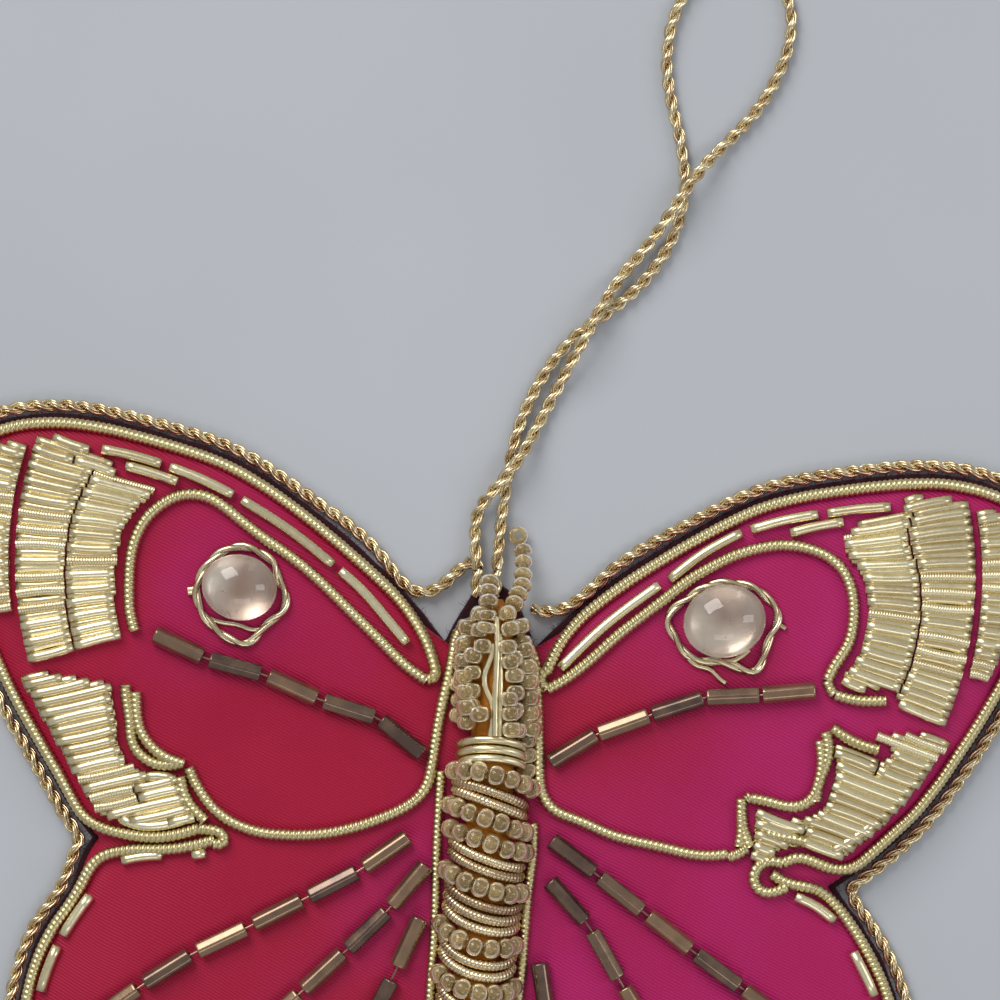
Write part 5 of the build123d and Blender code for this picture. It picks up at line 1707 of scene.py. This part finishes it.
# Antennae: places across and along as shares of the body's length, up as a share of its radius
antennaShares = {
    1: [
        (0.031, -0.018, 0.88), (0.043, 0.012, 0.04), (0.050, 0.049, -0.54), (0.049, 0.072, -0.86),
        (0.042, 0.097, -1.21),
    ],
    -1: [(-0.010, -0.075, 1.30), (-0.009, -0.040, 1.21), (-0.008, 0.000, 0.96), (-0.009, 0.036, 0.06)],
}


def antennae():
    pitch = seed["shortLength"] + seed["gap"]
    for side, name in wingSides:
        long, wide = body["length"], body["radius"]
        points = [
            (across * long, body["top"] + along * long, body["level"] + up * wide)
            for across, along, up in antennaShares[side]
        ]
        line = smoothLine(points, seed["lineStep"])[::-1]
        batch = Batch()
        spacing = runLength(line) / (len(line) - 1)
        for k in range(int(runLength(line) / pitch)):
            near, far = (line[min(len(line) - 1, round((k + j) * pitch / spacing))] for j in (0, 1))
            number = k * beadChance["antennaStep"] + beadChance["antennaFrom"] + side
            addBead(batch, near, far, shortBead, number)
        if side > 0:  # the bead at its tip lies flat
            ahead = line[0] - line[5]
            tip = line[0] + ahead / np.linalg.norm(ahead) * (seed["diameter"] / 2 + seed["gap"])
            addLathe(batch, tip, (0, 0, 1), shortBead, seed["tipSides"], seed["tipTone"])
        ornamentPiece(batch, "antenna_" + name + "_glass", "seed", "bead_glass", "antenna_" + name)


antennae()
print("body done")

# Floor and daylight in metres, then three soft lamps: place, width, height, power and colour
studio = {
    "floorSize": 4.0, "floorDrop": 0.0001, "floorLight": (0.500, 0.522, 0.556),
    "floorDark": (0.445, 0.467, 0.497), "cloudScale": 9.0, "cloudFrom": 0.3, "cloudTo": 0.75,
    "sky": (0.93, 0.95, 1.0), "skyPower": 0.45, "aim": (0, 0.02, 0),
}
lamps = {
    "window": ((-0.55, 0.85, 0.9), 0.7, 0.9, 10.5, (1.0, 0.985, 0.96)),
    "fill": ((0.95, 0.15, 0.8), 0.35, 0.7, 2.2, (0.95, 0.97, 1.0)),
    "low": ((0.1, -0.7, 1.0), 0.7, 0.35, 1.4, (1.0, 0.98, 0.95)),
}


def addFloor():
    material, tree, shader = newMaterial("floor", Roughness=0.6, Specular_IOR_Level=0.3)
    uneven = noiseNode(tree, ownPlace(tree), studio["cloudScale"], wearDetail)
    cloud = ramp(tree, uneven, studio["cloudFrom"], studio["cloudTo"])
    link(tree, mixColour(tree, cloud, studio["floorLight"], studio["floorDark"]), shader.inputs["Base Color"])
    mesh = bpy.data.meshes.new("floor")
    corners = [(-1, -1), (1, -1), (1, 1), (-1, 1)]
    size = studio["floorSize"]
    mesh.from_pydata([(x * size, y * size, 0) for x, y in corners], [], [(0, 1, 2, 3)])
    mesh.materials.append(material)
    floor = bpy.data.objects.new("floor", mesh)
    scene.collection.objects.link(floor)
    floor.location.z = -studio["floorDrop"]


def addLight():
    world = bpy.data.worlds.new("studio")
    scene.world = world
    world.use_nodes = True
    sky = world.node_tree.nodes["Background"]
    sky.inputs["Color"].default_value = (*studio["sky"], 1.0)
    sky.inputs["Strength"].default_value = studio["skyPower"]
    for name, (where, wide, high, power, colour) in lamps.items():
        data = bpy.data.lights.new(name, "AREA")
        data.shape = "RECTANGLE"
        data.size, data.size_y = wide, high
        data.energy = power
        data.color = colour
        lamp = bpy.data.objects.new(name, data)
        lamp.location = where
        lamp.rotation_euler = (Vector(studio["aim"]) - Vector(where)).to_track_quat("-Z", "Y").to_euler()
        scene.collection.objects.link(lamp)


addFloor()
addLight()
scene.view_settings.view_transform = "Standard"
